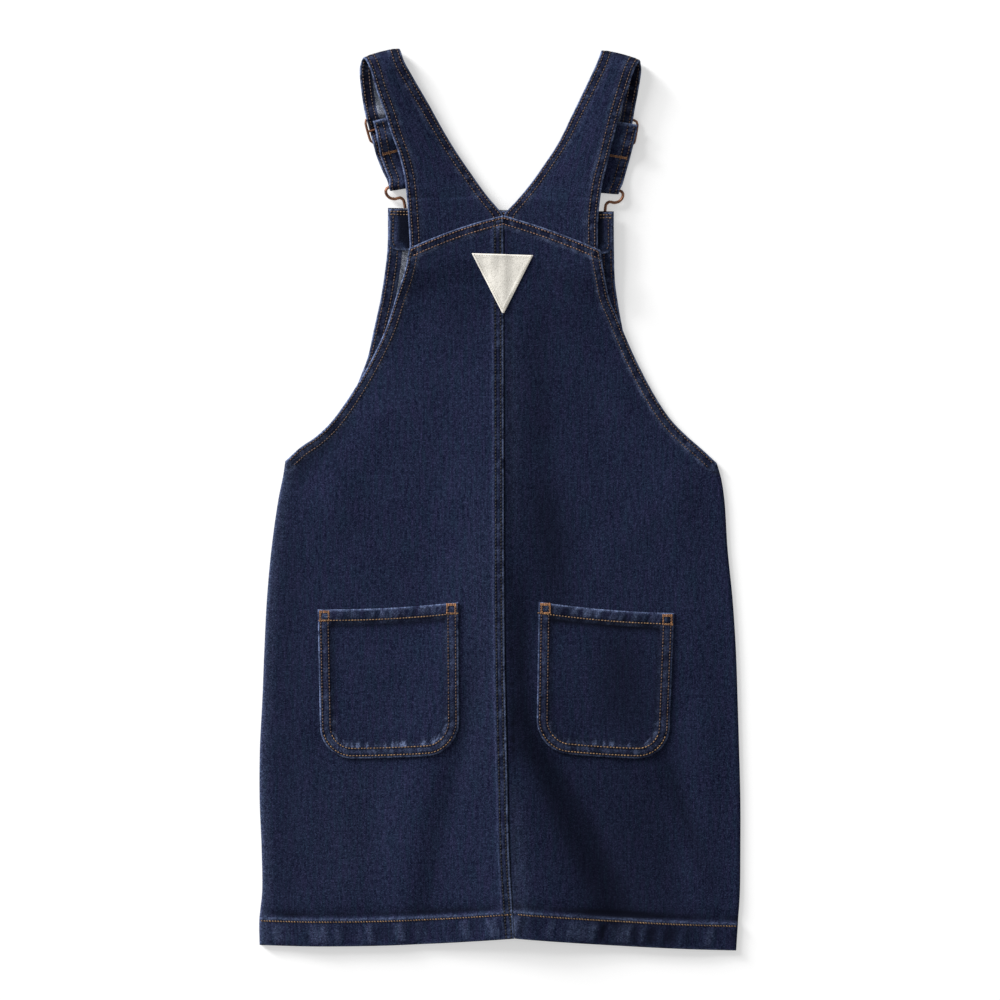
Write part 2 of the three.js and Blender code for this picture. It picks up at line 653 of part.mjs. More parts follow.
function strap(side) {
  const rows = side === "left" ? STRAP_BACK_LEFT : STRAP_BACK_RIGHT;
  const run = frontRun(side);
  const outer = rows.map((r) => new THREE.Vector3(r.outerX, r.outerY, r.outerZ));
  const inner = rows.map((r) => new THREE.Vector3(r.innerX, r.innerY, r.innerZ));
  STRAP_WEAVE.forEach((row, i) => {
    const { middle, across } = run(row.along);
    const share = clamp01((BUCKLE_AT - row.along) / (BUCKLE_AT - SLIDER_AT));
    const shift = i <= RETURN_FROM ? 0 : lerp(RETURN_SHIFT_LOW[side], RETURN_SHIFT[side], share);
    middle.z = row.height;
    const half = lerp(STRAP_WIDTH, STRAP_END_WIDTH, smooth(TURN_START, TURN_END, row.along)) / 2;
    outer.push(middle.clone().addScaledVector(across, shift - half));
    inner.push(middle.clone().addScaledVector(across, shift + half));
  });
  const backShare = rows.length / (outer.length - 1);
  const swell = (t, from, to) => Math.sin(Math.PI * clamp01((t / backShare - from) / (to - from)));
  const crown = (t) => ({
    lift: STRAP_CROWN * swell(t, CROWN_FROM, CROWN_TO),
    push: FOLD_BOW * swell(t, BOW_FROM, BOW_TO),
  });
  const restShare = YOKE_ROWS / (outer.length - 1);
  return ribbon(outer, inner, STRAP_WALL, STRAP_COLUMNS, 2, crown, restShare);
}

// A wire bent to a closed outline, in the plane of a strap's front run.
function closedWire(points, radius, steps) {
  const curve = new THREE.CatmullRomCurve3(points, true, "centripetal");
  return mergedPosition(new THREE.TubeGeometry(curve, steps, radius, 8, true));
}

function mergedPosition(geometry) {
  geometry.deleteAttribute("normal");
  geometry.deleteAttribute("uv");
  return mergeVertices(geometry, 1e-4);
}

function solidOf(geometry) {
  const vertProperties = new Float32Array(geometry.attributes.position.array);
  const triVerts = new Uint32Array(geometry.index.array);
  return new wasm.Manifold(new wasm.Mesh({ numProp: 3, vertProperties, triVerts }));
}

function joined(a, b) {
  const mesh = solidOf(a).add(solidOf(b)).getMesh();
  const geometry = new THREE.BufferGeometry();
  geometry.setAttribute("position", new THREE.BufferAttribute(mesh.vertProperties, 3));
  geometry.setIndex(new THREE.BufferAttribute(mesh.triVerts, 1));
  geometry.computeVertexNormals();
  return geometry;
}

// The frame that a slider or buckle is laid out in: its middle on the strap, across it and down it.
function hardwareFrame(side, along, height) {
  const { middle, down, across } = frontRun(side)(along);
  middle.z = height;
  return (x, y) => middle.clone().addScaledVector(across, x).addScaledVector(down, y);
}

// Outline of a rectangle with round corners, as points of a closed curve.
function roundedOutline(halfWidth, halfLength, corner, stepsPerCorner) {
  const points = [];
  for (const [sx, sy, start] of [[1, 1, 0], [-1, 1, 1], [-1, -1, 2], [1, -1, 3]]) {
    for (let k = 0; k <= stepsPerCorner; k += 1) {
      const angle = ((start + k / stepsPerCorner) * Math.PI) / 2;
      const x = sx * (halfWidth - corner) + corner * Math.cos(angle);
      const y = sy * (halfLength - corner) + corner * Math.sin(angle);
      points.push([x, y]);
    }
  }
  return points;
}

function slider(side) {
  const place = hardwareFrame(side, SLIDER_AT, SLIDER_HEIGHT);
  const shift = SLIDER_SHIFT[side];
  const outline = roundedOutline(SLIDER_HALF_WIDTH, SLIDER_HALF_LENGTH, 3, 3);
  const frame = closedWire(outline.map(([x, y]) => place(x + shift, y)), SLIDER_WIRE / 2, 44);
  const ends = [place(shift - SLIDER_HALF_WIDTH, 0), place(shift + SLIDER_HALF_WIDTH, 0)];
  const barLine = new THREE.LineCurve3(ends[0], ends[1]);
  const bar = new THREE.ExtrudeGeometry(circle(SLIDER_WIRE / 2 - 0.1, 8), {
    steps: 1,
    bevelEnabled: false,
    extrudePath: barLine,
  });
  return joined(frame, mergedPosition(bar));
}

function circle(radius, sides) {
  const points = [];
  for (let k = 0; k < sides; k += 1) {
    const angle = (2 * Math.PI * k) / sides;
    points.push(new THREE.Vector2(radius * Math.cos(angle), radius * Math.sin(angle)));
  }
  return new THREE.Shape(points);
}

function buckle(side) {
  const place = hardwareFrame(side, BUCKLE_AT, BUCKLE_HEIGHT);
  const oneSide = BUCKLE_HALF.map((row) => [row.across, row.down]);
  for (let k = 0; k <= FOOT_STEPS; k += 1) {
    const angle = ((k / FOOT_STEPS) * Math.PI) / 2;
    oneSide.push([BUCKLE_SLOT_HALF * Math.cos(angle), BUCKLE_SLOT + BUCKLE_SLOT_HALF * Math.sin(angle)]);
  }
  const otherSide = oneSide.slice(1, -1).reverse().map(([x, y]) => [-x, y]);
  const outline = [...oneSide, ...otherSide];
  return closedWire(outline.map(([x, y]) => place(x, y)), BUCKLE_WIRE / 2, 72);
}

// A cast button: a domed cap, face down, and the neck that the buckle's slot holds.
function button(side) {
  const place = hardwareFrame(side, BUCKLE_AT, 0);
  const profile = [
    new THREE.Vector2(0, 0),
    new THREE.Vector2(BUTTON_RADIUS - 1.4, 0),
    new THREE.Vector2(BUTTON_RADIUS - 0.4, 0.4),
    new THREE.Vector2(BUTTON_RADIUS, 1.1),
    new THREE.Vector2(BUTTON_RADIUS - 0.3, BUTTON_CAP - 0.2),
    new THREE.Vector2(BUTTON_NECK + 1.2, BUTTON_CAP),
    new THREE.Vector2(BUTTON_NECK, BUTTON_CAP + 0.6),
    new THREE.Vector2(BUTTON_NECK, BUTTON_TOP),
    new THREE.Vector2(0, BUTTON_TOP),
  ];
  const geometry = mergedPosition(new THREE.LatheGeometry(profile, 20));
  const seat = place(0, BUCKLE_SLOT);
  geometry.rotateX(Math.PI / 2);
  geometry.translate(seat.x, seat.y, 0);
  return geometry;
}

// A patch pocket: rows from its rounded bottom to its hemmed top.
function pocket(spec) {
  const height = spec.topLeft[1] - spec.bottomLeft[1];
  const tops = [POCKET_HEM + STEP_WIDTH, POCKET_HEM, 0];
  const rows = [...POCKET_LEVELS, ...tops.map((d) => height - d)];
  const places = rows.map((rise, i) => {
    const t = rise / height;
    const [left, right] = [
      [spec.bottomLeft, spec.topLeft],
      [spec.bottomRight, spec.topRight],
    ].map(([low, high]) => [lerp(low[0], high[0], t), lerp(low[1], high[1], t)]);
    const short = Math.max(0, POCKET_CORNER - rise);
    const inset = POCKET_CORNER - Math.sqrt(POCKET_CORNER ** 2 - short ** 2);
    const width = right[0] - left[0] - 2 * inset;
    const rim = [0, POCKET_RIM, POCKET_RIM + STEP_WIDTH];
    const distances = spacing(width, rim, rim.slice().reverse(), POCKET_COLUMNS);
    return distances.map((d) => {
      const u = (inset + d) / (width + 2 * inset);
      const sag = i === rows.length - 1 ? POCKET_TOP_BOW * 4 * u * (1 - u) : 0;
      return {
        x: left[0] + inset + d,
        y: lerp(left[1], right[1], u) + sag,
        fromEdge: Math.min(d, width - d, rise),
        fromTop: height - rise,
      };
    });
  });
  const thickness = (p) =>
    POCKET_WALL + POCKET_RISE * Math.max(band(p.fromEdge, POCKET_RIM), band(p.fromTop, POCKET_HEM));
  const under = (p) => backUnder(p.x, p.y) + PANEL_WALL + REST_GAP;
  return flatCloth(places, under, thickness);
}

// The label, sewn over the felled seam.
function label() {
  const { left, right, tip } = LABEL_CORNERS;
  const tipWidth = 1.4;
  const rows = 8;
  const columns = 8;
  const places = [];
  for (let i = 0; i <= rows; i += 1) {
    const t = i / rows;
    const leftX = lerp(tip[0] - tipWidth / 2, left[0], t);
    const rightX = lerp(tip[0] + tipWidth / 2, right[0], t);
    const row = [];
    for (let j = 0; j <= columns; j += 1) {
      const u = j / columns;
      row.push({ x: lerp(leftX, rightX, u), y: lerp(tip[1], lerp(left[1], right[1], u), t) });
    }
    places.push(row);
  }
  const under = (p) => backUnder(p.x, p.y) + PANEL_WALL + FELL_RISE + LABEL_GAP;
  return flatCloth(places, under, () => LABEL_WALL);
}

addNode("front_panel", frontPanel(), DENIM_INSIDE);
addNode("bib_facing", bibFacing(), DENIM);
for (const side of ["left", "right"]) {
  addNode(`back_panel_${side}`, backPanel(side), DENIM);
  addNode(`strap_${side}`, strap(side), DENIM);
  addNode(`slider_${side}`, slider(side), COPPER_WIRE);
  addNode(`buckle_${side}`, buckle(side), COPPER_WIRE);
  addNode(`button_${side}`, button(side), COPPER_WIRE);
}
for (const spec of POCKETS) addNode(`pocket_${spec.side}`, pocket(spec), DENIM);
addNode("label", label(), LABEL_CLOTH);

export default group;
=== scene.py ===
"""Looks of a child's denim pinafore dress, laid flat with its back up.

Sizes and places are written in millimetres in the part's own frame, and turned to metres where a
mesh is made. X runs to the right of the back, Y from the hem to the shoulders, Z up.
"""

import logging
import math
from dataclasses import dataclass, field
from enum import Enum

import bpy
import numpy as np
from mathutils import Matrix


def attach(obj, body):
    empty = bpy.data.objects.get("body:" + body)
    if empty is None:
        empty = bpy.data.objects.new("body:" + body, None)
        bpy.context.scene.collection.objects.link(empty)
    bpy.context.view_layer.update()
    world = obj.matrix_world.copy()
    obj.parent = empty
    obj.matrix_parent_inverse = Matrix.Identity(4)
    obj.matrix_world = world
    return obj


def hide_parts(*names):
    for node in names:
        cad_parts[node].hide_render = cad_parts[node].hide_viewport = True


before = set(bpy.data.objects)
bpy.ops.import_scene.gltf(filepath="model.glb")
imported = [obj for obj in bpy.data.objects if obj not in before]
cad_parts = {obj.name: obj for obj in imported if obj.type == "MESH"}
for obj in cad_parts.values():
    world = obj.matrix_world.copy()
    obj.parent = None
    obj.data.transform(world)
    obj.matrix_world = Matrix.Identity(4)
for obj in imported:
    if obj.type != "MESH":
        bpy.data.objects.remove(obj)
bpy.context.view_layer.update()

MM = 0.001
WHITE = (1, 1, 1, 1)
REPORT = logging.getLogger("pinafore")

Points = np.ndarray
Node = bpy.types.Node
Socket = bpy.types.NodeSocket
Tree = bpy.types.NodeTree
Material = bpy.types.Material
Piece = bpy.types.Object
Colour = tuple[float, float, float]


class Side(Enum):
    """The two halves of the dress, as seen from its back."""

    LEFT = "left"
    RIGHT = "right"

    @property
    def towards_neck(self) -> int:
        """Direction along X from this half's strap to the neck."""
        return self.pick(1, -1)

    def pick(self, left: object, right: object) -> object:
        """The value that belongs to this half."""
        return left if self is Side.LEFT else right


class Thread(Enum):
    """The kinds of sewing thread on the dress."""

    COPPER = "copper"
    GOLD = "gold"
    BROWN = "brown"
    RUST = "rust"
    DARK = "dark"
    CREAM = "cream"


# Cloth, its sewn edges and the gaps between its layers.
PANEL_WALL = 1.2
STRAP_WALL = 1.4
FACING_WALL = 1.0
POCKET_WALL = 1.2
SEAM_GAP = 0.3
REST_GAP = 0.45
SEWN_GAP = 0.05
FACING_GAP = 0.1
LABEL_GAP = 0.2
HEM_DEPTH = 19.5
HEM_RISE = 0.9
EDGE_HEM = 7.0
EDGE_RISE = 0.5
FELL_WIDTH = 8.0
FELL_RISE = 0.8
BODY_FULLNESS = 1.6
FULLNESS_REACH = 45.0
BIB_LIFT_START = 110.0
BIB_LIFT_END = 205.0
BIB_LIFT_MIDDLE = 3.4
BIB_LIFT_CORNER = 1.8
BIB_CORNER_X = 68.0
YOKE_STEP_START = 158.0
YOKE_STEP_END = 182.0
YOKE_STEP_X = 72.0
YOKE_STEP_SLOPE = 0.29
YOKE_FALL = 0.3
YOKE_FALL_START = 240.0
BIB_TOP = {Side.LEFT: (-89.6, 233.4), Side.RIGHT: (91.8, 230.6)}
STRAP_WIDTH = 31.0
STRAP_END_WIDTH = 30.0
SLIDER_AT = 55.0
BUCKLE_AT = 104.2
TURN_START = 78.0
TURN_END = 100.0
BUCKLE_TURN = {Side.LEFT: -0.1, Side.RIGHT: 0.1}
BUCKLE_SHIFT = {Side.LEFT: 2.8, Side.RIGHT: 0.0}
RETURN_SHIFT = {Side.LEFT: 4.6, Side.RIGHT: -4.4}
RETURN_SHIFT_LOW = {Side.LEFT: 1.2, Side.RIGHT: -1.2}

# Side edges of the skirt, hem to underarm: x, y.
SIDE_EDGE = {
    Side.LEFT: [
        (-192.2, -356.6), (-192.4, -336.2), (-190.2, -314), (-190.6, -280), (-192.2, -240),
        (-192, -200), (-190, -160), (-188.4, -120), (-186.4, -80), (-182.8, -40), (-177.2, 0),
        (-173.2, 20), (-171.6, 31),
    ],
    Side.RIGHT: [
        (189.6, -361), (191.2, -336.2), (192.6, -314), (193, -280), (193, -240), (192, -200),
        (190.8, -160), (189.4, -120), (186.8, -80), (182.8, -40), (180.2, 0), (177.6, 17),
        (174, 29.4),
    ],
}

# Armhole edges of the back, underarm to yoke.
ARMHOLE = {
    Side.LEFT: [
        (-171.6, 31), (-158.8, 42.5), (-148.4, 49.5), (-135.6, 61.4), (-122, 79.8),
        (-106.8, 104.6), (-91.6, 135.8), (-82.8, 162.2), (-76, 181.5), (-72.2, 200.6),
    ],
    Side.RIGHT: [
        (174, 29.4), (162.8, 39.8), (150, 51), (136.8, 64.6), (123.6, 84.6), (106.4, 118.2),
        (93.4, 148.6), (88, 160.6), (83.6, 180.6), (80.4, 199.2),
    ],
}

# Centre back seam, hem to underarm level and from there to the yoke.
SEAM_LOW = [(12, -350.6), (7.9, -288), (6.3, -224), (4.1, -120), (3.4, 45)]
SEAM_HIGH = [(3.4, 45), (3.2, 140), (3, 227)]

# How far the middles of the hem and of the yoke's edge bow up from their ends.
HEM_BOW = {Side.LEFT: -3.2, Side.RIGHT: -1.4}
YOKE_BOW = {Side.LEFT: 2.3, Side.RIGHT: 1.7}

# Outer edges of the bib, underarm to its top.
BIB_EDGE = {
    Side.LEFT: [
        (-168, 31), (-146, 46), (-132, 60), (-119.5, 79), (-112, 98.2), (-106, 114.2),
        (-101.2, 135.8), (-95.6, 160.6), (-92.4, 180), (-90, 201), (-89.6, 233.4),
    ],
    Side.RIGHT: [
        (170.5, 29.4), (147.5, 48), (134, 62), (121, 83), (110.5, 102), (103, 120),
        (98.2, 141), (94.8, 160), (92.8, 175), (92, 201), (91.8, 230.6),
    ],
}

# Soft folds of the skirt and back: x1, y1, x2, y2, reach, rise.
FOLDS = [
    (-24, 30, -44, -330, 30, 1.3),
    (20, 120, 22, -150, 16, -1.1),
    (24, -190, 108, -345, 18, -1.3),
    (62, -200, 146, -345, 22, 1.2),
    (-150, -60, -164, -340, 18, 0.9),
    (-104, -215, -98, -345, 16, -0.9),
    (158, -60, 168, -340, 16, 0.9),
    (-150, 20, -70, -50, 16, 0.8),
    (152, 20, 74, -56, 16, 0.8),
    (-62, 170, -84, 70, 16, -0.7),
    (64, 168, 92, 66, 16, -0.7),
]

# Small creases beside the broad folds: x1, y1, x2, y2, reach, rise.
CREASES = [
    (-41, -100, -80, -345, 24, 1.5),
    (-13, -110, -76, -400, 11, -0.9),
    (-150, -205, -120, -330, 30, 0.7),
    (166, -80, 186, -330, 22, 1.2),
    (132, -215, 150, -340, 14, -0.8),
    (146, 30, 172, -60, 20, 0.8),
    (-140, 36, -118, -30, 15, 0.7),
    (-90, 150, -108, 60, 14, 0.6),
    (60, 120, 92, 10, 18, -0.6),
    (4, -160, 92, -340, 8, 0.9),
    (18, -160, 112, -340, 11, -1.2),
    (156, -50, 167, -340, 18, -0.8),
    (126, -190, 174, -320, 8, -0.5),
]

# The ridge that the centre seam stands on: y, height, width of its crest to the right of the
# seam, reach of its left slope, reach of its right slope.
RIDGE = [
    (-362, 4.4, 14, 66, 76),
    (-320, 4.8, 12, 64, 74),
    (-256, 5.0, 8, 60, 70),
    (-192, 5.0, 3, 58, 64),
    (-112, 4.4, 0, 58, 54),
    (0, 3.6, 0, 60, 44),
    (80, 2.8, 0, 56, 38),
    (125, 1.4, 0, 44, 32),
    (152, 0, 0, 36, 28),
]

# Painted shade in the hollows of the drape and painted light on its rises: x1, y1, x2, y2,
# reach, and depth of the painted shade, which is below nought where light is painted instead.
PAINTED_SHADING = [
    (30, 170, 34, -40, 12, 0.3),
    (36, 20, 46, -112, 20, 0.5),
    (15, -50, 19, -215, 9, 0.7),
    (92, -90, 100, -190, 22, 0.34),
    (96, -50, 134, -500, 42, 0.38),
    (6, -156, 104, -350, 13, 0.64),
    (28, -150, 110, -430, 32, 0.34),
    (126, -190, 174, -320, 8, 0.34),
    (70, 170, 78, -80, 58, 0.13),
    (-16, -110, -76, -400, 11, 0.24),
    (-168, 40, -170, -440, 17, 0.3),
    (-172, 14, -120, 70, 11, 0.5),
    (10, 160, 12, -40, 6, -0.05),
    (12, -220, 18, -390, 8, -0.07),
    (-14, 20, -20, -250, 18, -0.025),
    (-110, -190, -132, -330, 36, -0.02),
]

# Back run of each strap: outer x, y, z and inner x, y, z of the cloth's middle.
STRAP_BACK = {
    Side.LEFT: [
        (-71.6, 190.2, 0, 2.7, 215.8, 0),
        (-71.6, 200.6, 0, 2.7, 222, 0),
        (-72, 211, 0, 2.6, 228, 0),
        (-72.8, 223, 0, -1.4, 233, 6.6),
        (-74, 240.6, 8.7, -10, 243, 5.8),
        (-76, 257.4, 8.6, -22, 259.8, 4.8),
        (-80.4, 275.8, 8.6, -34, 277.4, 4.6),
        (-86.8, 293.4, 8.9, -45.2, 295.8, 4.8),
        (-91.6, 308.6, 8.9, -56.4, 316, 5),
        (-98, 326.2, 9, -69.2, 338, 6),
        (-102.8, 342.4, 9, -76.4, 351, 7),
        (-106.2, 350, 8, -78.6, 357.6, 6.2),
        (-108.6, 353, 5.2, -79.8, 360.4, 4),
        (-110.4, 351.6, 2, -80.4, 358.6, 1.6),
    ],
    Side.RIGHT: [
        (78.8, 189, 0, 3.6, 215.8, 0),
        (78.6, 200, 0, 3.6, 222, 0),
        (78.6, 211.8, 0, 3.8, 228, 0),
        (78.8, 223, 0, 6.6, 231.6, 6.6),
        (80.4, 239.8, 8.7, 14, 239.4, 5.8),
        (82.8, 255, 8.6, 23.8, 251.4, 4.9),
        (87.4, 273.4, 8.6, 35.6, 267.8, 4.6),
        (91.6, 291, 8.9, 47.4, 286, 4.7),
        (96.4, 308.6, 8.9, 58.4, 308.4, 4.9),
        (102.4, 328, 9, 70, 332.4, 5.8),
        (107, 341.6, 9, 77.6, 348.6, 7),
        (110.2, 348.2, 8, 80.2, 355.4, 6.2),
        (112.4, 350.8, 5.2, 81.4, 359, 4),
        (113, 349.6, 2, 81.6, 357.2, 1.6),
    ],
}
YOKE_ROWS = 6

# Outer edge of each strap's front run, shoulder to buckle.
STRAP_FRONT = {
    Side.LEFT: [
        (-112.2, 349.4), (-111.3, 332.6), (-108.7, 314), (-102.6, 290.3), (-96.6, 267.8),
        (-90.6, 245), (-88.4, 236.6),
    ],
    Side.RIGHT: [
        (114.2, 348.4), (111.8, 331), (108.6, 314), (104.6, 291), (100.4, 268), (96.2, 245),
        (94.6, 236.2),
    ],
}

# The front run through slider and buckle: distance from the shoulder, height of its middle.
STRAP_WEAVE = [
    (4, 0.8), (20, 0.7), (35, 0.7), (40, 2.9), (43.8, 4.75), (46.2, 4.75), (49.8, 2.9),
    (53.6, 0.72), (56.4, 0.72), (60.2, 2.9), (63.8, 4.75), (66.2, 4.75), (70, 2.9), (75, 0.75),
    (88, 0.7), (98.7, 0.8), (104.2, 1.05), (105.8, 1.7), (106.45, 3.3), (105.8, 4.9),
    (104.2, 5.55), (98.7, 4), (91, 2.6), (77, 2.9), (71, 4.9), (65, 6.5), (56, 5.1), (48.5, 6.3),
]
RETURN_FROM = 20

# Where the front run lies in the shadow of the back run: distance from the strap's end, depth.
STRAP_SHADOWS = [(110, 0.42), (142, 0.4)]
FLOOR_GAP = 0.02

# Rows of the facing's grid above its lower edge.
FACING_LEVELS = [5, 3.6, 2.4, 1.4, 0.7, 0.25, 0]

# Rows of a pocket's grid above its bottom, and below its top.
POCKET_LOW = [0.0, 0.1, 0.4, 0.9, 1.6, 2.4, 3.3, 4.6, 6.2, 7.6, 8.6, 9.6, 11.0, 13.0, 15.5]
POCKET_HIGH = [12.0, 10.6, 9.8, 9.0, 8.2, 7.2, 5.6, 4.0, 2.4, 1.2, 0.5, 0.15, 0.0]

# Corners of the pockets: top left, top right, bottom left, bottom right.
POCKET_CORNERS = {
    Side.LEFT: ((-145.4, -87.6), (-33, -81.8), (-143, -206.8), (-32.2, -202.6)),
    Side.RIGHT: ((31.4, -81.6), (139.8, -90.6), (29.4, -200.6), (135.2, -207.4)),
}

# Bars of close stitches at a pocket's top corner, from the corner: x1, y1, x2, y2.
POCKET_BARS = [
    (1.4, -1.3, 9.6, -1.3), (1.4, -2.0, 9.6, -2.0), (1.4, -2.7, 9.6, -2.7),
    (1.9, -2.4, 1.9, -9.4), (2.6, -2.6, 2.6, -8.8), (9.0, -2.4, 9.0, -9.0),
    (1.0, -9.6, 9.8, -9.2), (1.0, -8.9, 9.8, -8.5),
]

# Corners of the label: left, right and tip.
LABEL_CORNERS = ((-22.2, 196.8), (26.9, 195.2), (2.9, 149.2))


def ease(share: Points) -> Points:
    """Softens the start and the end of a rise from 0 to 1."""
    return share * share * (3 - 2 * share)


def unit(directions: Points) -> Points:
    """Directions with their length made 1."""
    return directions / np.maximum(np.linalg.norm(directions, axis=-1, keepdims=True), 1e-9)


def smooth(start: float, end: float, value: Points) -> Points:
    """Rises softly from 0 at start to 1 at end.

    Args:
        start: Value where the rise begins.
        end: Value where it is over.
        value: Values to read it at.

    Returns:
        The share at each value.
    """
    return ease(np.clip((value - start) / (end - start), 0, 1))


def window(value: Points, a: float, b: float, c: float, d: float) -> Points:
    """Rises softly from a to b and falls softly from c to d.

    Args:
        value: Values to read it at.
        a: Where the rise begins.
        b: Where it is over.
        c: Where the fall begins.
        d: Where it is over.

    Returns:
        The share at each value.
    """
    return smooth(a, b, value) * (1 - smooth(c, d, value))


def line_at(value: Points, centre: float, width: float) -> Points:
    """A soft line: 1 at centre, and next to nothing beyond its width."""
    return np.exp(-(((value - centre) / width) ** 2))


# How many random heights there are before a wave or a relief repeats.
RIPPLE_HEIGHTS = 1024
SWELL_HEIGHTS = 64


def ripple(along: Points, step: float, seed: int) -> Points:
    """Smooth random wave along a seam.

    Args:
        along: Distances along the seam.
        step: Distance between its random heights.
        seed: Which wave.

    Returns:
        Heights between -1 and 1.
    """
    heights = np.random.default_rng(seed).uniform(-1, 1, RIPPLE_HEIGHTS)
    q = np.asarray(along, float) / step + 100
    i = np.floor(q).astype(int)
    w = ease(q - i)
    return heights[i % RIPPLE_HEIGHTS] * (1 - w) + heights[(i + 1) % RIPPLE_HEIGHTS] * w


def swell(x: Points, y: Points, step: float, seed: int) -> Points:
    """Smooth random relief over a piece of cloth.

    Args:
        x: Places along X.
        y: Places along Y.
        step: Distance between its random heights.
        seed: Which relief.

    Returns:
        Heights between -1 and 1.
    """
    size = SWELL_HEIGHTS
    heights = np.random.default_rng(seed).uniform(-1, 1, (size, size))
    p, q = np.asarray(x, float) / step + 640, np.asarray(y, float) / step + 640
    i, j = np.floor(p).astype(int), np.floor(q).astype(int)
    u, v = ease(p - i), ease(q - j)
    i, j, k, m = i % size, j % size, (i + 1) % size, (j + 1) % size
    low = heights[i, j] * (1 - u) + heights[k, j] * u
    high = heights[i, m] * (1 - u) + heights[k, m] * u
    return low * (1 - v) + high * v


# How many points stand for a curve where its length is measured.
FINE_POINTS = 1200


class Spline:
    """A smooth centripetal curve through rows of points, as the solids' edges are drawn."""

    def __init__(self, rows: Points) -> None:
        """Keeps the rows that the curve passes through."""
        self.rows = np.asarray(rows, float)

    def at(self, share: Points) -> Points:
        """Points at shares of the number of rows.

        Args:
            share: Shares from 0, the first row, to 1, the last.

        Returns:
            One point for each share.
        """
        rows = self.rows
        p = np.vstack([2 * rows[0] - rows[1], rows, 2 * rows[-1] - rows[-2]])
        s = np.clip(np.atleast_1d(share), 0, 1) * (len(rows) - 1)
        i = np.minimum(s.astype(int), len(rows) - 2)
        w = (s - i)[:, None]
        a, b, c, d = p[i], p[i + 1], p[i + 2], p[i + 3]
        ab, bc, cd = (
            np.maximum(((q - r) ** 2).sum(1) ** 0.25, 1e-9)[:, None]
            for q, r in ((b, a), (c, b), (d, c))
        )
        m = ((b - a) / ab - (c - a) / (ab + bc) + (c - b) / bc) * bc
        n = ((c - b) / bc - (d - b) / (bc + cd) + (d - c) / cd) * bc
        return b + w * (m + w * (3 * (c - b) - 2 * m - n + w * (2 * (b - c) + m + n)))

    def fine(self) -> Points:
        """Close points along the whole curve."""
        return self.at(np.linspace(0, 1, FINE_POINTS))

    def span(self) -> float:
        """The curve's length."""
        return lengths(self.fine())[-1]

    def by_length(self, distances: Points) -> Points:
        """Points at distances from the curve's start."""
        fine = self.fine()
        return resample(fine, lengths(fine), distances)


def lengths(line: Points) -> Points:
    """Distance of each point of a line from its start, along it."""
    return np.concatenate([[0], np.cumsum(np.linalg.norm(np.diff(line, axis=0), axis=1))])


def resample(line: Points, length: Points, distances: Points) -> Points:
    """Points of a line at given distances from its start."""
    return np.stack([np.interp(distances, length, line[:, k]) for k in range(line.shape[1])], 1)


def reach(x: Points, y: Points, line: Points) -> tuple[Points, Points]:
    """How far places are from a line.

    Args:
        x: Places along X, in any shape.
        y: Places along Y.
        line: The line's points.

    Returns:
        The shortest distances, and how far along the line each is met.
    """
    px, py = np.ravel(x), np.ravel(y)
    a, step = line[:-1], np.diff(line, axis=0)
    square = np.maximum((step**2).sum(1), 1e-12)
    start = lengths(line)
    best = np.full(px.shape, 1e18)
    along = np.zeros(px.shape)
    for k in range(len(a)):
        dx, dy = px - a[k, 0], py - a[k, 1]
        t = np.clip((dx * step[k, 0] + dy * step[k, 1]) / square[k], 0, 1)
        far = (dx - t * step[k, 0]) ** 2 + (dy - t * step[k, 1]) ** 2
        closer = far < best
        best[closer] = far[closer]
        along[closer] = start[k] + t[closer] * math.sqrt(square[k])
    shape = np.shape(x)
    return np.sqrt(best).reshape(shape), along.reshape(shape)


def nearest(x: Points, y: Points, lines: list[Points]) -> Points:
    """Distances of places from the nearest of several lines."""
    return np.minimum.reduce([reach(x, y, line)[0] for line in lines])


def offset(line: Points, inwards: float, middle: tuple[float, float]) -> Points:
    """A line moved sideways, towards a place.

    Args:
        line: The line's points.
        inwards: How far it is moved.
        middle: A place on the side that it is moved to.

    Returns:
        The moved line.
    """
    step = np.gradient(line, axis=0)
    square = unit(np.stack([-step[:, 1], step[:, 0]], 1))
    side = ((np.asarray(middle) - line) * square).sum()
    return line + square * math.copysign(inwards, side)


def steps(length: float, widest: float) -> int:
    """How many even steps, none wider than the widest, make up a length."""
    return max(2, math.ceil(length / widest))


def graded(width: float, edge: list[float], count: int) -> Points:
    """Distances across a piece, closer at its edges.

    Args:
        width: The piece's width there.
        edge: Distances from each of its edges.
        count: How many even ones stand between.

    Returns:
        Distances from the first edge.
    """
    even = np.linspace(edge[-1], width - edge[-1], count + 2)[1:-1]
    return np.concatenate([edge, even, width - np.array(edge[::-1])])


# How far back a folded edge of cloth is rounded, and the columns that draw it.
EDGE_ROUND = 1.4
EDGE_COLUMNS = [0.0, 0.1, 0.35, 0.8, 1.4, 2.1, 2.9, 3.8, 5.0, 6.2, 7.0, 7.7, 8.6, 10.0, 12.0]
HEM_LEVELS = [0.0, 0.1, 0.35, 0.8, 1.6, 4.0, 6.5, 9.0, 11.5, 14.0, 16.5, 18.4, 19.2, 19.9, 20.8]
HEM_LEVELS += [21.8, 23.0, 24.5, 26.5, 29.0]


def back_edge_x(side: Side, y: Points) -> Points:
    """X of the back's outer edge at a height on the dress."""
    rows = np.array(SIDE_EDGE[side] + ARMHOLE[side][1:], float)
    return np.interp(y, rows[:, 1], rows[:, 0])


def seam_x(y: Points) -> Points:
    """X of the centre back seam at a height on the dress."""
    rows = np.array(SEAM_LOW + SEAM_HIGH[1:], float)
    return np.interp(y, rows[:, 1], rows[:, 0])


def front_under(x: Points, y: Points) -> Points:
    """Height of the front's underside, which rises under the bib's top."""
    corner = np.minimum(1, (x / BIB_CORNER_X) ** 2)
    lift = BIB_LIFT_MIDDLE + BIB_LIFT_CORNER * corner
    return smooth(BIB_LIFT_START, BIB_LIFT_END, y) * lift


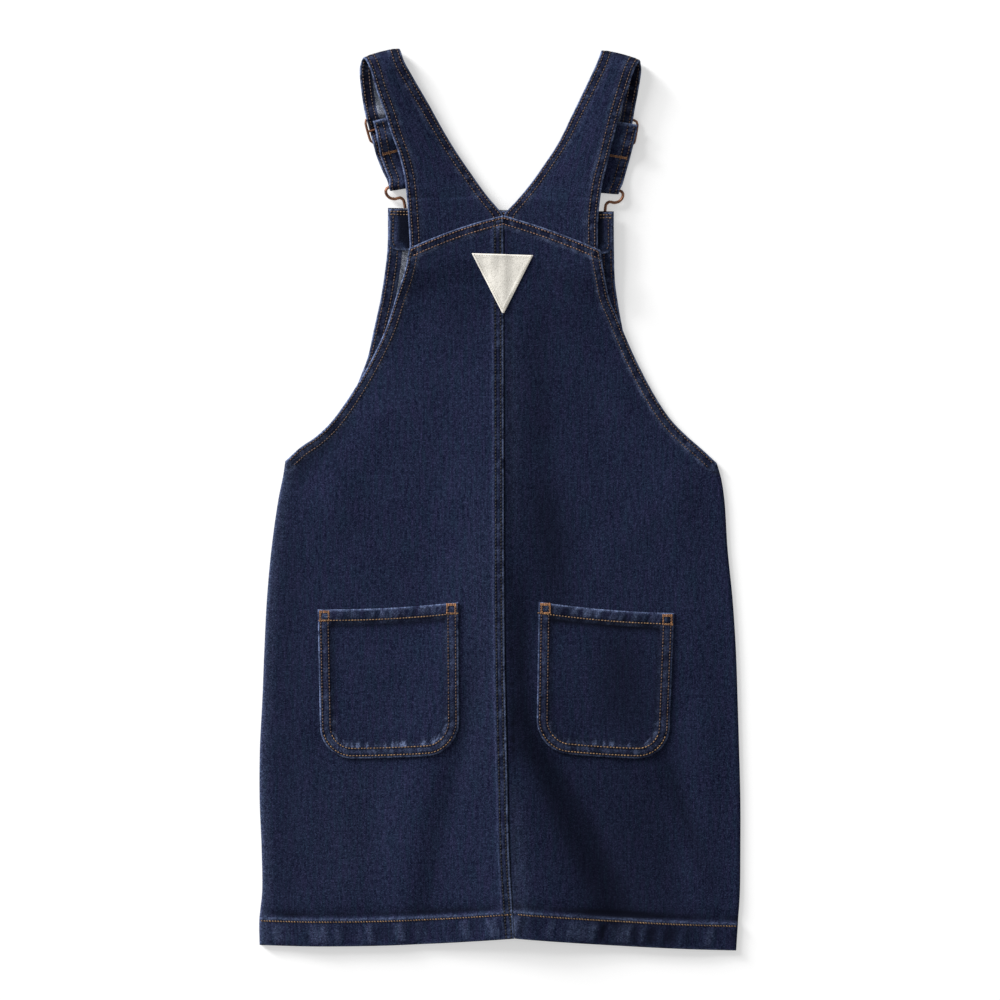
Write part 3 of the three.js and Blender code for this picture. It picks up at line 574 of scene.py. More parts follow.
def ridge_height(x: Points, y: Points) -> Points:
    """Height of the centre seam's ridge: a crest with a straight slope on each side."""
    rows = np.array(RIDGE, float)
    high, crest, left, right = (np.interp(y, rows[:, 0], rows[:, k]) for k in (1, 2, 3, 4))
    across = x - seam_x(y)
    fall = np.where(across < 0, -across / left, np.maximum(0, across - crest) / right)
    return high * np.maximum(0, 1 - fall) ** 1.3


def streaks(x: Points, y: Points, rows: list[tuple]) -> Points:
    """Sum of long soft streaks.

    Args:
        x: Places along X.
        y: Places along Y.
        rows: The streaks' ends, reaches and amounts.

    Returns:
        The sum at each place.
    """
    total = np.zeros(np.shape(x))
    for x1, y1, x2, y2, wide, amount in rows:
        dx, dy = x2 - x1, y2 - y1
        along = ((x - x1) * dx + (y - y1) * dy) / (dx * dx + dy * dy)
        across = np.hypot(x - x1 - along * dx, y - y1 - along * dy) / wide
        inside = np.clip(along, 0, 1)
        total += amount * np.exp(-across * across) * np.sin(np.pi * inside) ** 0.7
    return total


def dye(x: Points, y: Points) -> tuple[Points, Points]:
    """Painted light and painted shade of the drape at each place of the back."""
    light = streaks(x, y, [(*row[:5], -row[5]) for row in PAINTED_SHADING if row[5] < 0])
    painted_shade = streaks(x, y, [row for row in PAINTED_SHADING if row[5] > 0])
    return light, np.minimum(painted_shade, 0.7)


def fold_height(x: Points, y: Points) -> Points:
    """Sum of the soft folds at each place."""
    return streaks(x, y, FOLDS + CREASES)


def back_under(x: Points, y: Points) -> Points:
    """Height of the back's underside over the front, the facing and the yoke."""
    inside = np.minimum(x - back_edge_x(Side.LEFT, y), back_edge_x(Side.RIGHT, y) - x)
    inside = np.maximum(0, inside)
    stand = smooth(0, FULLNESS_REACH, inside)
    body = REST_GAP * smooth(0, 3, inside) + SEWN_GAP
    body += stand * (np.maximum(0, BODY_FULLNESS + fold_height(x, y)) + ridge_height(x, y))
    over_yoke = FACING_WALL + STRAP_WALL + SEAM_GAP + 2 * REST_GAP
    level = y - YOKE_STEP_SLOPE * (YOKE_STEP_X - np.abs(x))
    step = smooth(YOKE_STEP_START, YOKE_STEP_END, level)
    risen = np.maximum(body, over_yoke)
    return front_under(x, y) + PANEL_WALL + body * (1 - step) + risen * step


def yoke_rest(x: Points, y: Points) -> Points:
    """Height of the yoke's middle on the facing, and how it leaves it above the bib."""
    on_facing = front_under(x, y) + PANEL_WALL + FACING_WALL
    on_facing = on_facing + SEAM_GAP + REST_GAP + STRAP_WALL / 2
    return on_facing - YOKE_FALL * np.maximum(0, y - YOKE_FALL_START)


@dataclass
class Relief:
    """What sewing and wear do to a piece of cloth at each of its places, with the light and shade
    painted on it.
    """

    rise: Points
    lift: Points
    pale: Points
    shade: Points


# Sewn edges: steps of their fine and wide puckers and of their wear along the seam, how far the
# puckers lean, how wide and deep the thread sinks in, and the slope where the turned ply ends.
FINE_PUCKERS = 1.7
WIDE_PUCKERS = 5.5
WEAR_STEP = 2.6
PUCKER_LEAN = 0.4
ROW_WIDTH = 0.85
ROW_DEPTH = 0.2
PLY_SLOPE = 1.2

# The bottom hem: steps of its puckers, of the waves above it, and of its wear and shadow along
# it; where its ridge, its shadow and its hollow lie above the row of stitches; its thread.
HEM_WIDE_PUCKERS = 6.4
HEM_FINE_PUCKERS = 2.8
HEM_WAVES = 19
HEM_WEAR_STEP = 3.4
HEM_SHADOW_STEP = 13
HEM_RIDGE_AT = 1.7
HEM_SHADOW_AT = 5.8
HEM_HOLLOW_AT = 7.5
HEM_ROW_WIDTH = 0.8


@dataclass(frozen=True)
class SewnEdge:
    """A turned or felled edge of cloth with its rows of stitches."""

    depth: float = EDGE_HEM
    rise: float = EDGE_RISE
    rows: tuple[float, ...] = (2.1, 7.2)
    pucker: float = 0.16
    edge_wear: float = 0.85
    wear: float = 1.0
    band_line: float = 0.0
    haze: float = 1.0
    row_shade: float = 0.7
    band_shade: float = 0.14
    edge_shade: float = 0.0
    seed: int = 1

    def relief(self, distance: Points, along: Points) -> Relief:
        """Reads the edge's relief.

        Args:
            distance: How far places are from the edge.
            along: How far along it they are.

        Returns:
            The relief at these places.
        """
        rise = self.rise * (1 - smooth(self.depth, self.depth + PLY_SLOPE, distance))
        lean = along + PUCKER_LEAN * distance
        fine = ripple(lean, FINE_PUCKERS, self.seed)
        wide = ripple(lean, WIDE_PUCKERS, self.seed + 1)
        near = window(distance, 0.8, 2.2, self.depth - 0.6, self.depth + 4)
        lift = self.pucker * near * (0.6 * fine + 0.7 * wide)
        groove = sum(line_at(distance, row, ROW_WIDTH) for row in self.rows)
        lift -= ROW_DEPTH * groove
        # The folded edge is rubbed, and the puckers' crests between the rows are a little paler.
        worn = 0.52 + 0.48 * ripple(along, WEAR_STEP, self.seed + 3)
        pale = self.edge_wear * (1 - smooth(0.5, 1.8, distance)) * worn
        between = window(distance, 1.8, 3.0, self.depth - 1.2, self.depth + 0.4)
        pale += 0.16 * np.clip(fine, 0, 1) * between
        # Past the last row the cloth is worn where the ply under it ends.
        beyond = window(distance, self.depth - 1.2, self.depth, self.depth + 1.4, self.depth + 3.6)
        pale = self.wear * (pale + self.haze * (0.04 + 0.13 * np.clip(wide, 0, 1)) * beyond)
        pale += self.band_line * line_at(distance, self.depth + 0.4, 0.6) * (0.4 + 0.6 * worn)
        # Painted shade in the rows' grooves, in the puckers' troughs between the rows and along the
        # edge.
        shade = self.row_shade * groove
        shade += (self.band_shade + 0.36 * np.clip(-fine, 0, 1)) * between
        shade += self.edge_shade * (1 - smooth(0.5, 1.5, distance))
        return Relief(rise, lift, pale, shade)


@dataclass(frozen=True)
class DeepHem:
    """The skirt's bottom hem: one row of stitches, and puckers that run up and down."""

    depth: float = HEM_DEPTH
    rise: float = HEM_RISE
    seed: int = 30

    def relief(self, distance: Points, along: Points) -> Relief:
        """Reads the hem's relief.

        Args:
            distance: How far places are above the hem's edge.
            along: How far along it they are.

        Returns:
            The relief at these places.
        """
        rise = self.rise * (1 - smooth(self.depth + 1.2, self.depth + 4.2, distance))
        wide = ripple(along + 0.1 * distance, HEM_WIDE_PUCKERS, self.seed)
        fine = ripple(along + 0.2 * distance, HEM_FINE_PUCKERS, self.seed + 1)
        inside = window(distance, 1, 5, self.depth - 5, self.depth)
        lift = inside * (0.4 * wide + 0.1 * fine)
        above = window(distance, self.depth, self.depth + 5, self.depth + 14, self.depth + 55)
        lift += 0.3 * above * ripple(along, HEM_WAVES, self.seed + 2)
        lift += 0.3 * line_at(distance, self.depth + 2.1, 1.5)
        lift -= 0.5 * line_at(distance, self.depth + HEM_HOLLOW_AT, 3.4)
        lift -= 0.3 * line_at(distance, self.depth, HEM_ROW_WIDTH)
        # The ridge above the row is paler: partly rubbed wear, partly painted light on its lit side.
        ridge = line_at(distance, self.depth + HEM_RIDGE_AT, 1.05)
        worn = 0.5 + 0.5 * ripple(along, HEM_WEAR_STEP, self.seed + 3)
        pale = 0.36 * ridge * (0.25 + 0.75 * worn)
        pale += 0.2 * inside * np.clip(0.8 * wide + 0.5 * fine, 0, 1)
        pale += 0.45 * (1 - smooth(0.4, 1.5, distance)) * worn
        # A painted shadow lies in the hollow above the ridge; the puckers' troughs and the row are
        # darker.
        dark_line = line_at(distance, self.depth + HEM_SHADOW_AT, 2.6)
        shade = 0.8 * dark_line * (0.7 + 0.3 * ripple(along, HEM_SHADOW_STEP, self.seed + 4))
        shade += 0.5 * inside * np.clip(-0.8 * wide - 0.5 * fine, 0, 1)
        shade += 0.45 * line_at(distance, self.depth, HEM_ROW_WIDTH)
        return Relief(rise, lift, pale, shade)


def combined(parts: list[Relief]) -> Relief:
    """Lays several reliefs over each other: the highest rise, and the sums of the rest."""
    rise = parts[0].rise
    for part in parts[1:]:
        rise = np.maximum(rise, part.rise)
    lift, pale, shade = (
        sum(getattr(part, name) for part in parts) for name in ("lift", "pale", "shade")
    )
    return Relief(rise, lift, pale, shade)


def rounded(under: Points, thickness: Points, from_edge: Points) -> tuple[Points, Points]:
    """Rounds the folded edge of a piece of cloth.

    Args:
        under: Height of its underside.
        thickness: How thick it is.
        from_edge: Distance from its edge.

    Returns:
        Heights of its top and of its underside.
    """
    t = np.clip(1 - from_edge / EDGE_ROUND, 0, 1)
    share = 0.5 * (1 - np.sqrt(1 - t * t))
    return under + thickness * (1 - share), under + thickness * share


def new_piece(name: str, points: Points, faces: Points) -> Piece:
    """Makes a smooth piece.

    Args:
        name: Its name.
        points: Its points, in millimetres.
        faces: Its faces, four points each.

    Returns:
        The piece, without a finish.
    """
    mesh = bpy.data.meshes.new(name)
    mesh.from_pydata((points * MM).tolist(), [], faces.tolist())
    mesh.polygons.foreach_set("use_smooth", np.ones(len(faces), bool))
    mesh.update()
    piece = bpy.data.objects.new(name, mesh)
    bpy.context.scene.collection.objects.link(piece)
    return piece


def mesh_piece(
    name: str, sides: list[Points], uv: Points, relief: Relief, wrong: Points, wrong_above: bool
) -> Piece:
    """Makes a closed shell of cloth from the grids of its two sides.

    Args:
        name: The piece's name.
        sides: Grids of points of its upper side and of its underside, in millimetres.
        uv: Grid of places in the cloth's own weave, in millimetres.
        relief: How worn and how dark each place is.
        wrong: Which places show the cloth's wrong side, on the side that has it.
        wrong_above: Whether the upper side is the one that has the wrong side.

    Returns:
        The piece, with its shades and its weave places, and without a finish.
    """
    rows, columns = uv.shape[:2]
    count = rows * columns
    index = np.arange(count).reshape(rows, columns)
    a, b = index[:-1, :-1].ravel(), index[:-1, 1:].ravel()
    c, d = index[1:, 1:].ravel(), index[1:, :-1].ravel()
    upper = np.stack([a, b, c, d], 1)
    lower = np.stack([a, d, c, b], 1) + count
    rim = np.concatenate(
        [index[0, :-1], index[:-1, -1], index[-1, :0:-1], index[:0:-1, 0]]
    )
    after = np.roll(rim, -1)
    edge = np.stack([rim, rim + count, after + count, after], 1)
    faces = np.concatenate([upper, lower, edge])
    points = np.concatenate([side.reshape(-1, 3) for side in sides])
    corner = points[upper]
    normal = np.cross(corner[:, 2] - corner[:, 0], corner[:, 3] - corner[:, 1])
    gap = points[upper].mean(1) - points[upper + count].mean(1)
    if (normal * gap).sum() < 0:
        faces = faces[:, ::-1]
    piece = new_piece(name, points, faces)
    mesh = piece.data
    finish = np.zeros(len(faces), int)
    start = 0 if wrong_above else len(upper)
    finish[start : start + len(upper)] = wrong.ravel()[upper].mean(1) > 0.5
    mesh.polygons.foreach_set("material_index", finish)
    layer = mesh.uv_layers.new(name="weave")
    places = np.concatenate([uv.reshape(-1, 2), uv.reshape(-1, 2)]) * MM
    corners = np.zeros(len(mesh.loops), np.int32)
    mesh.loops.foreach_get("vertex_index", corners)
    layer.data.foreach_set("uv", places[corners].astype(np.float32).ravel())
    for label, values in (("pale", relief.pale), ("shade", relief.shade)):
        attribute = mesh.attributes.new(label, "FLOAT", "POINT")
        both = np.concatenate([values.ravel(), values.ravel()])
        attribute.data.foreach_set("value", np.clip(both, 0, 1).astype(np.float32))
    mesh.validate()
    mesh.update()
    return piece


def dress(
    piece: Piece,
    materials: list[Material],
    nodes: tuple[str, ...] = (),
) -> None:
    """Finishes a piece, hides the solids that it stands for, and reports it.

    Args:
        piece: The piece.
        materials: Its finishes, in the order of its faces' numbers.
        nodes: The solids that it stands for.
    """
    for material in materials:
        piece.data.materials.append(material)
    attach(piece, "root")
    if nodes:
        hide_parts(*nodes)
    REPORT.info("%s: %d faces", piece.name, len(piece.data.polygons))


class Nodes:
    """Adds nodes to a tree in short lines."""

    def __init__(self, tree: Tree) -> None:
        """Keeps the tree that nodes are added to."""
        self.tree = tree

    def add(self, kind: str, **settings: object) -> Node:
        """Adds a node of a kind and sets its properties."""
        node = self.tree.nodes.new(kind)
        for name, value in settings.items():
            setattr(node, name, value)
        return node

    def join(self, source: Socket, target: Socket) -> None:
        """Links an output to an input."""
        self.tree.links.new(source, target)

    def maths(self, operation: str, first: object, second: object = None) -> Socket:
        """Adds a sum of two values or sockets.

        Args:
            operation: The kind of sum.
            first: Its first value or socket.
            second: Its second, where it has one.

        Returns:
            The result's socket.
        """
        node = self.add("ShaderNodeMath", operation=operation)
        for socket, value in zip(node.inputs, (first, second)):
            self.feed(socket, value)
        return node.outputs[0]

    def feed(self, socket: Socket, value: object) -> None:
        """Links a socket to a socket, or sets it to a value."""
        if isinstance(value, Socket):
            self.join(value, socket)
        elif value is not None:
            socket.default_value = value

    def ranged(
        self, value: object, low: float, high: float, to_low: float = 0.0, to_high: float = 1.0
    ) -> Socket:
        """Maps a value from one range to another and keeps it there."""
        node = self.add("ShaderNodeMapRange", clamp=True)
        for socket, given in zip(node.inputs, (value, low, high, to_low, to_high)):
            self.feed(socket, given)
        return node.outputs[0]

    def mixed(self, share: object, first: object, second: object) -> Socket:
        """Mixes two colours.

        Args:
            share: How much of the second one.
            first: The first colour or socket.
            second: The second one.

        Returns:
            The mixed colour's socket.
        """
        node = self.add("ShaderNodeMix", data_type="RGBA", clamp_factor=False)
        self.feed(node.inputs[0], share)
        self.feed(node.inputs[6], first)
        self.feed(node.inputs[7], second)
        return node.outputs[2]

    def noise(
        self, place: object, stretch: tuple[float, float, float], detail: float = 2.0
    ) -> Socket:
        """Noise over places that are stretched first.

        Args:
            place: The socket with the places.
            stretch: How many times each axis is stretched.
            detail: Levels of detail.

        Returns:
            The noise's value socket.
        """
        mapping = self.add("ShaderNodeMapping")
        self.feed(mapping.inputs["Vector"], place)
        mapping.inputs["Scale"].default_value = stretch
        noise = self.add("ShaderNodeTexNoise")
        self.join(mapping.outputs[0], noise.inputs["Vector"])
        self.set(noise, {"Scale": 1.0, "Detail": detail, "Roughness": 0.6})
        return noise.outputs[0]

    def set(self, node: Node, values: dict[str, object]) -> None:
        """Sets a node's inputs to values by name."""
        for name, value in values.items():
            node.inputs[name].default_value = value

    def bump(self, principled: Node, height: Socket, strength: float, depth: float) -> None:
        """Gives a shader fine relief, whose depth is in millimetres."""
        node = self.add("ShaderNodeBump")
        self.set(node, {"Strength": strength, "Distance": depth * MM})
        self.join(height, node.inputs["Height"])
        self.join(node.outputs[0], principled.inputs["Normal"])

    def woven(self, group: Tree, lean: float, pitch: float) -> Node:
        """Adds the weave at a piece's own weave places; the pitch is in millimetres."""
        place = self.add("ShaderNodeUVMap", uv_map="weave")
        weave = self.add("ShaderNodeGroup", node_tree=group)
        self.join(place.outputs[0], weave.inputs["Place"])
        self.set(weave, {"Lean": lean, "Pitch": pitch * MM})
        return weave


def new_group(name: str, inputs: dict[str, str], outputs: dict[str, str]) -> tuple:
    """Starts a shader node group.

    Args:
        name: Its name.
        inputs: Socket kinds by name.
        outputs: Socket kinds by name.

    Returns:
        The group, its nodes, its input node and its output node.
    """
    group = bpy.data.node_groups.new(name, "ShaderNodeTree")
    for names, direction in ((inputs, "INPUT"), (outputs, "OUTPUT")):
        for label, kind in names.items():
            group.interface.new_socket(label, in_out=direction, socket_type="NodeSocket" + kind)
    nodes = Nodes(group)
    return group, nodes, nodes.add("NodeGroupInput"), nodes.add("NodeGroupOutput")


# The cloth's patterns: how they are stretched across and along the warp, and their detail.
SLUB = ((850, 46, 1), 2)
TINGE = ((310, 38, 1), 3)
FINE_FLECK = ((1250, 1050, 1), 1)
COARSE_FLECK = ((420, 250, 1), 2)
SPARSE_FLECK = ((840, 700, 1), 0)
CLOUD = ((26, 19, 1), 4)
WEFT_PITCH = 0.7

# The patterns of thread and of plated wire.
UNEVEN = ((330, 330, 330), 3)
TWIST = ((3200, 3200, 3200), 1)
PATCH = ((260, 260, 260), 4)
SCRATCH = ((2600, 700, 700), 2)


class ClothGroups:
    """The shader node groups that the dress's finishes share."""

    def __init__(self) -> None:
        """Builds the groups once."""
        self.weave = self.build_weave()
        self.wear = self.build_wear_and_shading()
        self.tarnish = self.build_tarnish()

    def build_weave(self) -> Tree:
        """Twill lines, slubs along the warp, weft flecks and cloudy dye.

        Returns:
            The group.
        """
        group, nodes, given, out = new_group(
            "TwillWeave",
            {"Place": "Vector", "Lean": "Float", "Pitch": "Float"},
            {
                "Slub": "Float", "Fleck": "Float", "Cloud": "Float", "Twill": "Float",
                "Tinge": "Float", "Height": "Float",
            },
        )
        place = given.outputs["Place"]
        slub = nodes.noise(place, *SLUB)
        nodes.join(nodes.ranged(slub, 0.32, 0.68), out.inputs["Slub"])
        tinge = nodes.noise(place, *TINGE)
        nodes.join(nodes.ranged(tinge, 0.36, 0.64), out.inputs["Tinge"])
        fine = nodes.maths("MULTIPLY", nodes.noise(place, *FINE_FLECK), 0.64)
        coarse = nodes.maths("MULTIPLY", nodes.noise(place, *COARSE_FLECK), 0.42)
        fleck = nodes.ranged(nodes.maths("ADD", fine, coarse), 0.445, 0.615)
        sparse = nodes.ranged(nodes.noise(place, *SPARSE_FLECK), 0.58, 0.7)
        fleck = nodes.maths("ADD", fleck, nodes.maths("MULTIPLY", sparse, 0.9))
        nodes.join(fleck, out.inputs["Fleck"])
        cloud = nodes.noise(place, *CLOUD)
        nodes.join(nodes.ranged(cloud, 0.3, 0.7), out.inputs["Cloud"])
        split = nodes.add("ShaderNodeSeparateXYZ")
        nodes.join(place, split.inputs[0])
        leaning = nodes.maths("MULTIPLY", split.outputs[1], given.outputs["Lean"])
        across = nodes.maths("ADD", split.outputs[0], leaning)
        turn = nodes.maths("DIVIDE", across, given.outputs["Pitch"])
        wave = nodes.maths("SINE", nodes.maths("MULTIPLY", turn, 2 * math.pi))
        nodes.join(nodes.ranged(wave, -1, 1), out.inputs["Twill"])
        thread = nodes.maths("MULTIPLY", split.outputs[1], 2 * math.pi / (WEFT_PITCH * MM))
        thread = nodes.maths("MULTIPLY", nodes.maths("SINE", thread), 0.12)
        weave = nodes.maths("ADD", nodes.maths("MULTIPLY", wave, 0.35), thread)
        height = nodes.maths("ADD", weave, nodes.maths("MULTIPLY", fleck, 0.8))
        nodes.join(height, out.inputs["Height"])
        return group

    def build_wear_and_shading(self) -> Tree:
        """Paler with rubbed wear and painted light, darker with painted shade and where the dye has
        stayed.

        Returns:
            The group.
        """
        group, nodes, given, out = new_group(
            "WearAndPaintedShading",
            {
                "Color": "Color", "RubbedAndLit": "Color", "ShadeAndKeptDye": "Color",
                "Pale": "Float", "Shade": "Float", "Fleck": "Float",
            },
            {"Color": "Color"},
        )
        grain = nodes.maths("ADD", nodes.maths("MULTIPLY", given.outputs["Fleck"], 1.2), 0.32)
        rubbed_and_lit = nodes.maths("MULTIPLY", given.outputs["Pale"], grain)
        shade_and_kept_dye = nodes.mixed(given.outputs["Shade"], given.outputs["Color"], given.outputs["ShadeAndKeptDye"])
        worn = nodes.mixed(nodes.ranged(rubbed_and_lit, 0, 1), shade_and_kept_dye, given.outputs["RubbedAndLit"])
        nodes.join(worn, out.inputs["Color"])
        return group

    def build_tarnish(self) -> Tree:
        """Patches of tarnish and fine scratches on plated wire.

        Returns:
            The group.
        """
        group, nodes, given, out = new_group(
            "Tarnish", {"Place": "Vector"}, {"Patch": "Float", "Scratch": "Float"}
        )
        patch = nodes.noise(given.outputs["Place"], *PATCH)
        nodes.join(nodes.ranged(patch, 0.38, 0.62), out.inputs["Patch"])
        scratch = nodes.noise(given.outputs["Place"], *SCRATCH)
        nodes.join(scratch, out.inputs["Scratch"])
        return group


def shader(name: str) -> tuple[Material, Nodes, Node]:
    """Starts a material.

    Args:
        name: Its name.

    Returns:
        The material, its nodes and its Principled shader.
    """
    material = bpy.data.materials.new(name)
    material.use_nodes = True
    return material, Nodes(material.node_tree), material.node_tree.nodes["Principled BSDF"]


class Finish:
    """A finish of the dress, made from shader nodes."""

    name: str

    def material(self, groups: ClothGroups) -> Material:
        """Makes the finish.

        Args:
            groups: The shared node groups.

        Returns:
            The material.
        """
        material, nodes, principled = shader(self.name)
        self.paint(nodes, principled, groups)
        return material

    def paint(self, nodes: Nodes, principled: Node, groups: ClothGroups) -> None:
        """Joins the finish's own nodes to its shader."""
        raise NotImplementedError


@dataclass(frozen=True)
class Denim(Finish):
    """A side of the denim: dark indigo twill, worn pale where it is sewn and rubbed, with painted
    light and painted shade laid over it.
    """

    name: str
    dye: Colour
    light: Colour
    tinged: Colour
    rubbed_and_lit: Colour
    shade_and_kept_dye: Colour
    fleck_share: float = 0.7
    slub_share: float = 0.36
    twill_share: float = 0.0
    pitch: float = 1.05
    lean: float = 0.58
    roughness: float = 0.9

    def paint(self, nodes: Nodes, principled: Node, groups: ClothGroups) -> None:
        """Joins the finish's own nodes to its shader."""
        weave = nodes.woven(groups.weave, self.lean, self.pitch)
        slub = nodes.maths("MULTIPLY", weave.outputs["Slub"], self.slub_share)
        fleck = nodes.maths("MULTIPLY", weave.outputs["Fleck"], self.fleck_share)
        twill = nodes.maths("MULTIPLY", weave.outputs["Twill"], self.twill_share)
        cloud = nodes.ranged(weave.outputs["Cloud"], 0, 1, -0.07, 0.07)
        share = nodes.maths("ADD", nodes.maths("ADD", slub, fleck), nodes.maths("ADD", twill, cloud))
        share = nodes.ranged(share, 0, 2, 0, 2)
        light = nodes.mixed(weave.outputs["Tinge"], (*self.light, 1), (*self.tinged, 1))
        base = nodes.mixed(share, (*self.dye, 1), light)
        wear = nodes.add("ShaderNodeGroup", node_tree=groups.wear)
        nodes.join(base, wear.inputs["Color"])
        nodes.set(wear, {"RubbedAndLit": (*self.rubbed_and_lit, 1), "ShadeAndKeptDye": (*self.shade_and_kept_dye, 1)})
        # The pale attribute brings rubbed wear and painted light; the shade attribute brings painted
        # shade and kept dye.
        for label in ("pale", "shade"):
            attribute = nodes.add("ShaderNodeAttribute", attribute_name=label)
            nodes.join(attribute.outputs["Fac"], wear.inputs[label.capitalize()])
        nodes.join(weave.outputs["Fleck"], wear.inputs["Fleck"])
        nodes.join(wear.outputs["Color"], principled.inputs["Base Color"])
        nodes.bump(principled, weave.outputs["Height"], strength=0.5, depth=0.12)
        settings = {"Roughness": self.roughness, "Specular IOR Level": 0.04}
        nodes.set(principled, {**settings, "Sheen Weight": 0.015, "Sheen Roughness": 0.5})


@dataclass(frozen=True)
class LabelCloth(Finish):
    """Plain cream woven cloth."""

    name: str = "cream_label"
    light: Colour = (0.9, 0.865, 0.79)
    dark: Colour = (0.6, 0.57, 0.51)

    def paint(self, nodes: Nodes, principled: Node, groups: ClothGroups) -> None:
        """Joins the finish's own nodes to its shader."""
        weave = nodes.woven(groups.weave, 0.0, 1.0)
        share = nodes.maths("MULTIPLY", weave.outputs["Fleck"], 0.35)
        # The shade attribute darkens the label as painted shade.
        attribute = nodes.add("ShaderNodeAttribute", attribute_name="shade")
        share = nodes.maths("ADD", share, attribute.outputs["Fac"])
        colour = nodes.mixed(nodes.ranged(share, 0, 1), (*self.light, 1), (*self.dark, 1))
        nodes.join(colour, principled.inputs["Base Color"])
        nodes.bump(principled, weave.outputs["Height"], strength=0.35, depth=0.08)
        nodes.set(principled, {"Roughness": 0.8, "Specular IOR Level": 0.2})


@dataclass(frozen=True)
class SewingThread(Finish):
    """Twisted sewing thread of one colour, a little uneven along its rows."""

    name: str
    light: Colour
    dark: Colour

    def paint(self, nodes: Nodes, principled: Node, groups: ClothGroups) -> None:
        """Joins the finish's own nodes to its shader."""
        place = nodes.add("ShaderNodeTexCoord")
        uneven = nodes.noise(place.outputs["Object"], *UNEVEN)
        share = nodes.ranged(uneven, 0.36, 0.64)
        colour = nodes.mixed(share, (*self.dark, 1), (*self.light, 1))
        nodes.join(colour, principled.inputs["Base Color"])
        twist = nodes.noise(place.outputs["Object"], *TWIST)
        nodes.bump(principled, twist, strength=0.3, depth=0.05)
        nodes.set(principled, {"Roughness": 0.62, "Specular IOR Level": 0.3})


@dataclass(frozen=True)
class CopperPlate(Finish):
    """Antique copper plating: brown in its tarnish and bright where it is rubbed."""

    name: str = "antique_copper"
    bright: Colour = (0.3, 0.145, 0.085)
    tarnished: Colour = (0.1, 0.042, 0.028)

    def paint(self, nodes: Nodes, principled: Node, groups: ClothGroups) -> None:
        """Joins the finish's own nodes to its shader."""
        place = nodes.add("ShaderNodeTexCoord")
        tarnish = nodes.add("ShaderNodeGroup", node_tree=groups.tarnish)
        nodes.join(place.outputs["Object"], tarnish.inputs["Place"])
        patch = tarnish.outputs["Patch"]
        colour = nodes.mixed(patch, (*self.tarnished, 1), (*self.bright, 1))
        nodes.join(colour, principled.inputs["Base Color"])
        nodes.join(nodes.ranged(patch, 0, 1, 0.5, 0.3), principled.inputs["Roughness"])
        nodes.bump(principled, tarnish.outputs["Scratch"], strength=0.15, depth=0.05)
        nodes.set(principled, {"Metallic": 1.0})


THREADS = {
    Thread.COPPER: SewingThread("copper_thread", (0.4, 0.19, 0.075), (0.2, 0.095, 0.045)),
    Thread.GOLD: SewingThread("gold_thread", (0.26, 0.155, 0.07), (0.1, 0.06, 0.035)),
    Thread.BROWN: SewingThread("brown_thread", (0.11, 0.064, 0.045), (0.035, 0.023, 0.02)),
    Thread.RUST: SewingThread("rust_thread", (0.21, 0.115, 0.075), (0.07, 0.04, 0.03)),
    Thread.DARK: SewingThread("dark_thread", (0.013, 0.011, 0.011), (0.004, 0.004, 0.006)),
    Thread.CREAM: SewingThread("cream_thread", (0.66, 0.62, 0.52), (0.45, 0.42, 0.34)),
}

RIGHT_SIDE = Denim(
    "denim_right_side",
    dye=(0.0014, 0.0022, 0.014),
    light=(0.0222, 0.0246, 0.0635),
    tinged=(0.0158, 0.0272, 0.0572),
    rubbed_and_lit=(0.115, 0.15, 0.26),
    shade_and_kept_dye=(0.0022, 0.003, 0.0085),
)
WRONG_SIDE = Denim(
    "denim_wrong_side",
    dye=(0.008, 0.01, 0.02),
    light=(0.215, 0.223, 0.27),
    tinged=(0.195, 0.223, 0.255),
    rubbed_and_lit=(0.3, 0.32, 0.38),
    shade_and_kept_dye=(0.02, 0.025, 0.04),
    fleck_share=0.75,
    slub_share=0.1,
    twill_share=0.35,
    pitch=1.5,
    lean=-0.75,
)


@dataclass
class Finishes:
    """All finishes of the dress, made once."""

    groups: ClothGroups = field(default_factory=ClothGroups)

    def __post_init__(self) -> None:
        """Makes each material from the shared groups."""
        self.denim = RIGHT_SIDE.material(self.groups)
        self.wrong_side = WRONG_SIDE.material(self.groups)
        self.label = LabelCloth().material(self.groups)
        self.copper = CopperPlate().material(self.groups)
        self.threads = {kind: THREADS[kind].material(self.groups) for kind in Thread}
        self.cloth = [self.denim, self.wrong_side]


@dataclass
class StitchRow:
    """A row of stitches over cloth: its line, the way up, and the thread's sizes."""

    line: Points
    up: Points
    pitch: float = 2.55
    length: float = 1.9
    width: float = 0.85
    seed: int = 1
    slant: float = 0.0


# Rings that a stitch is made of: share of its half length, of its radius, and how far it arches.
STITCH_RINGS = [(-1, 0.3, -0.75), (-0.72, 0.85, 0), (0, 1, 0.28), (0.72, 0.85, 0), (1, 0.3, -0.75)]
STITCH_SIDES = 6
STITCH_FLATNESS = 0.8
STITCH_REACH = 0.8

# How far a row's line lies off flat cloth, off a strap, and off a strap's end where it is a bar.
ROW_LIFT = 0.06
STRAP_ROW_LIFT = 0.12
STRAP_BAR_LIFT = 0.22

# Steps along a row of stitches, on flat cloth and on a strap, and the step that slopes are
# read over.
ROW_STEP = 1.2
STRAP_ROW_STEP = 0.9
SLOPE_STEP = 0.4

# How far up a strap's side must face for its stitches to show.
FACES_UP = 0.15


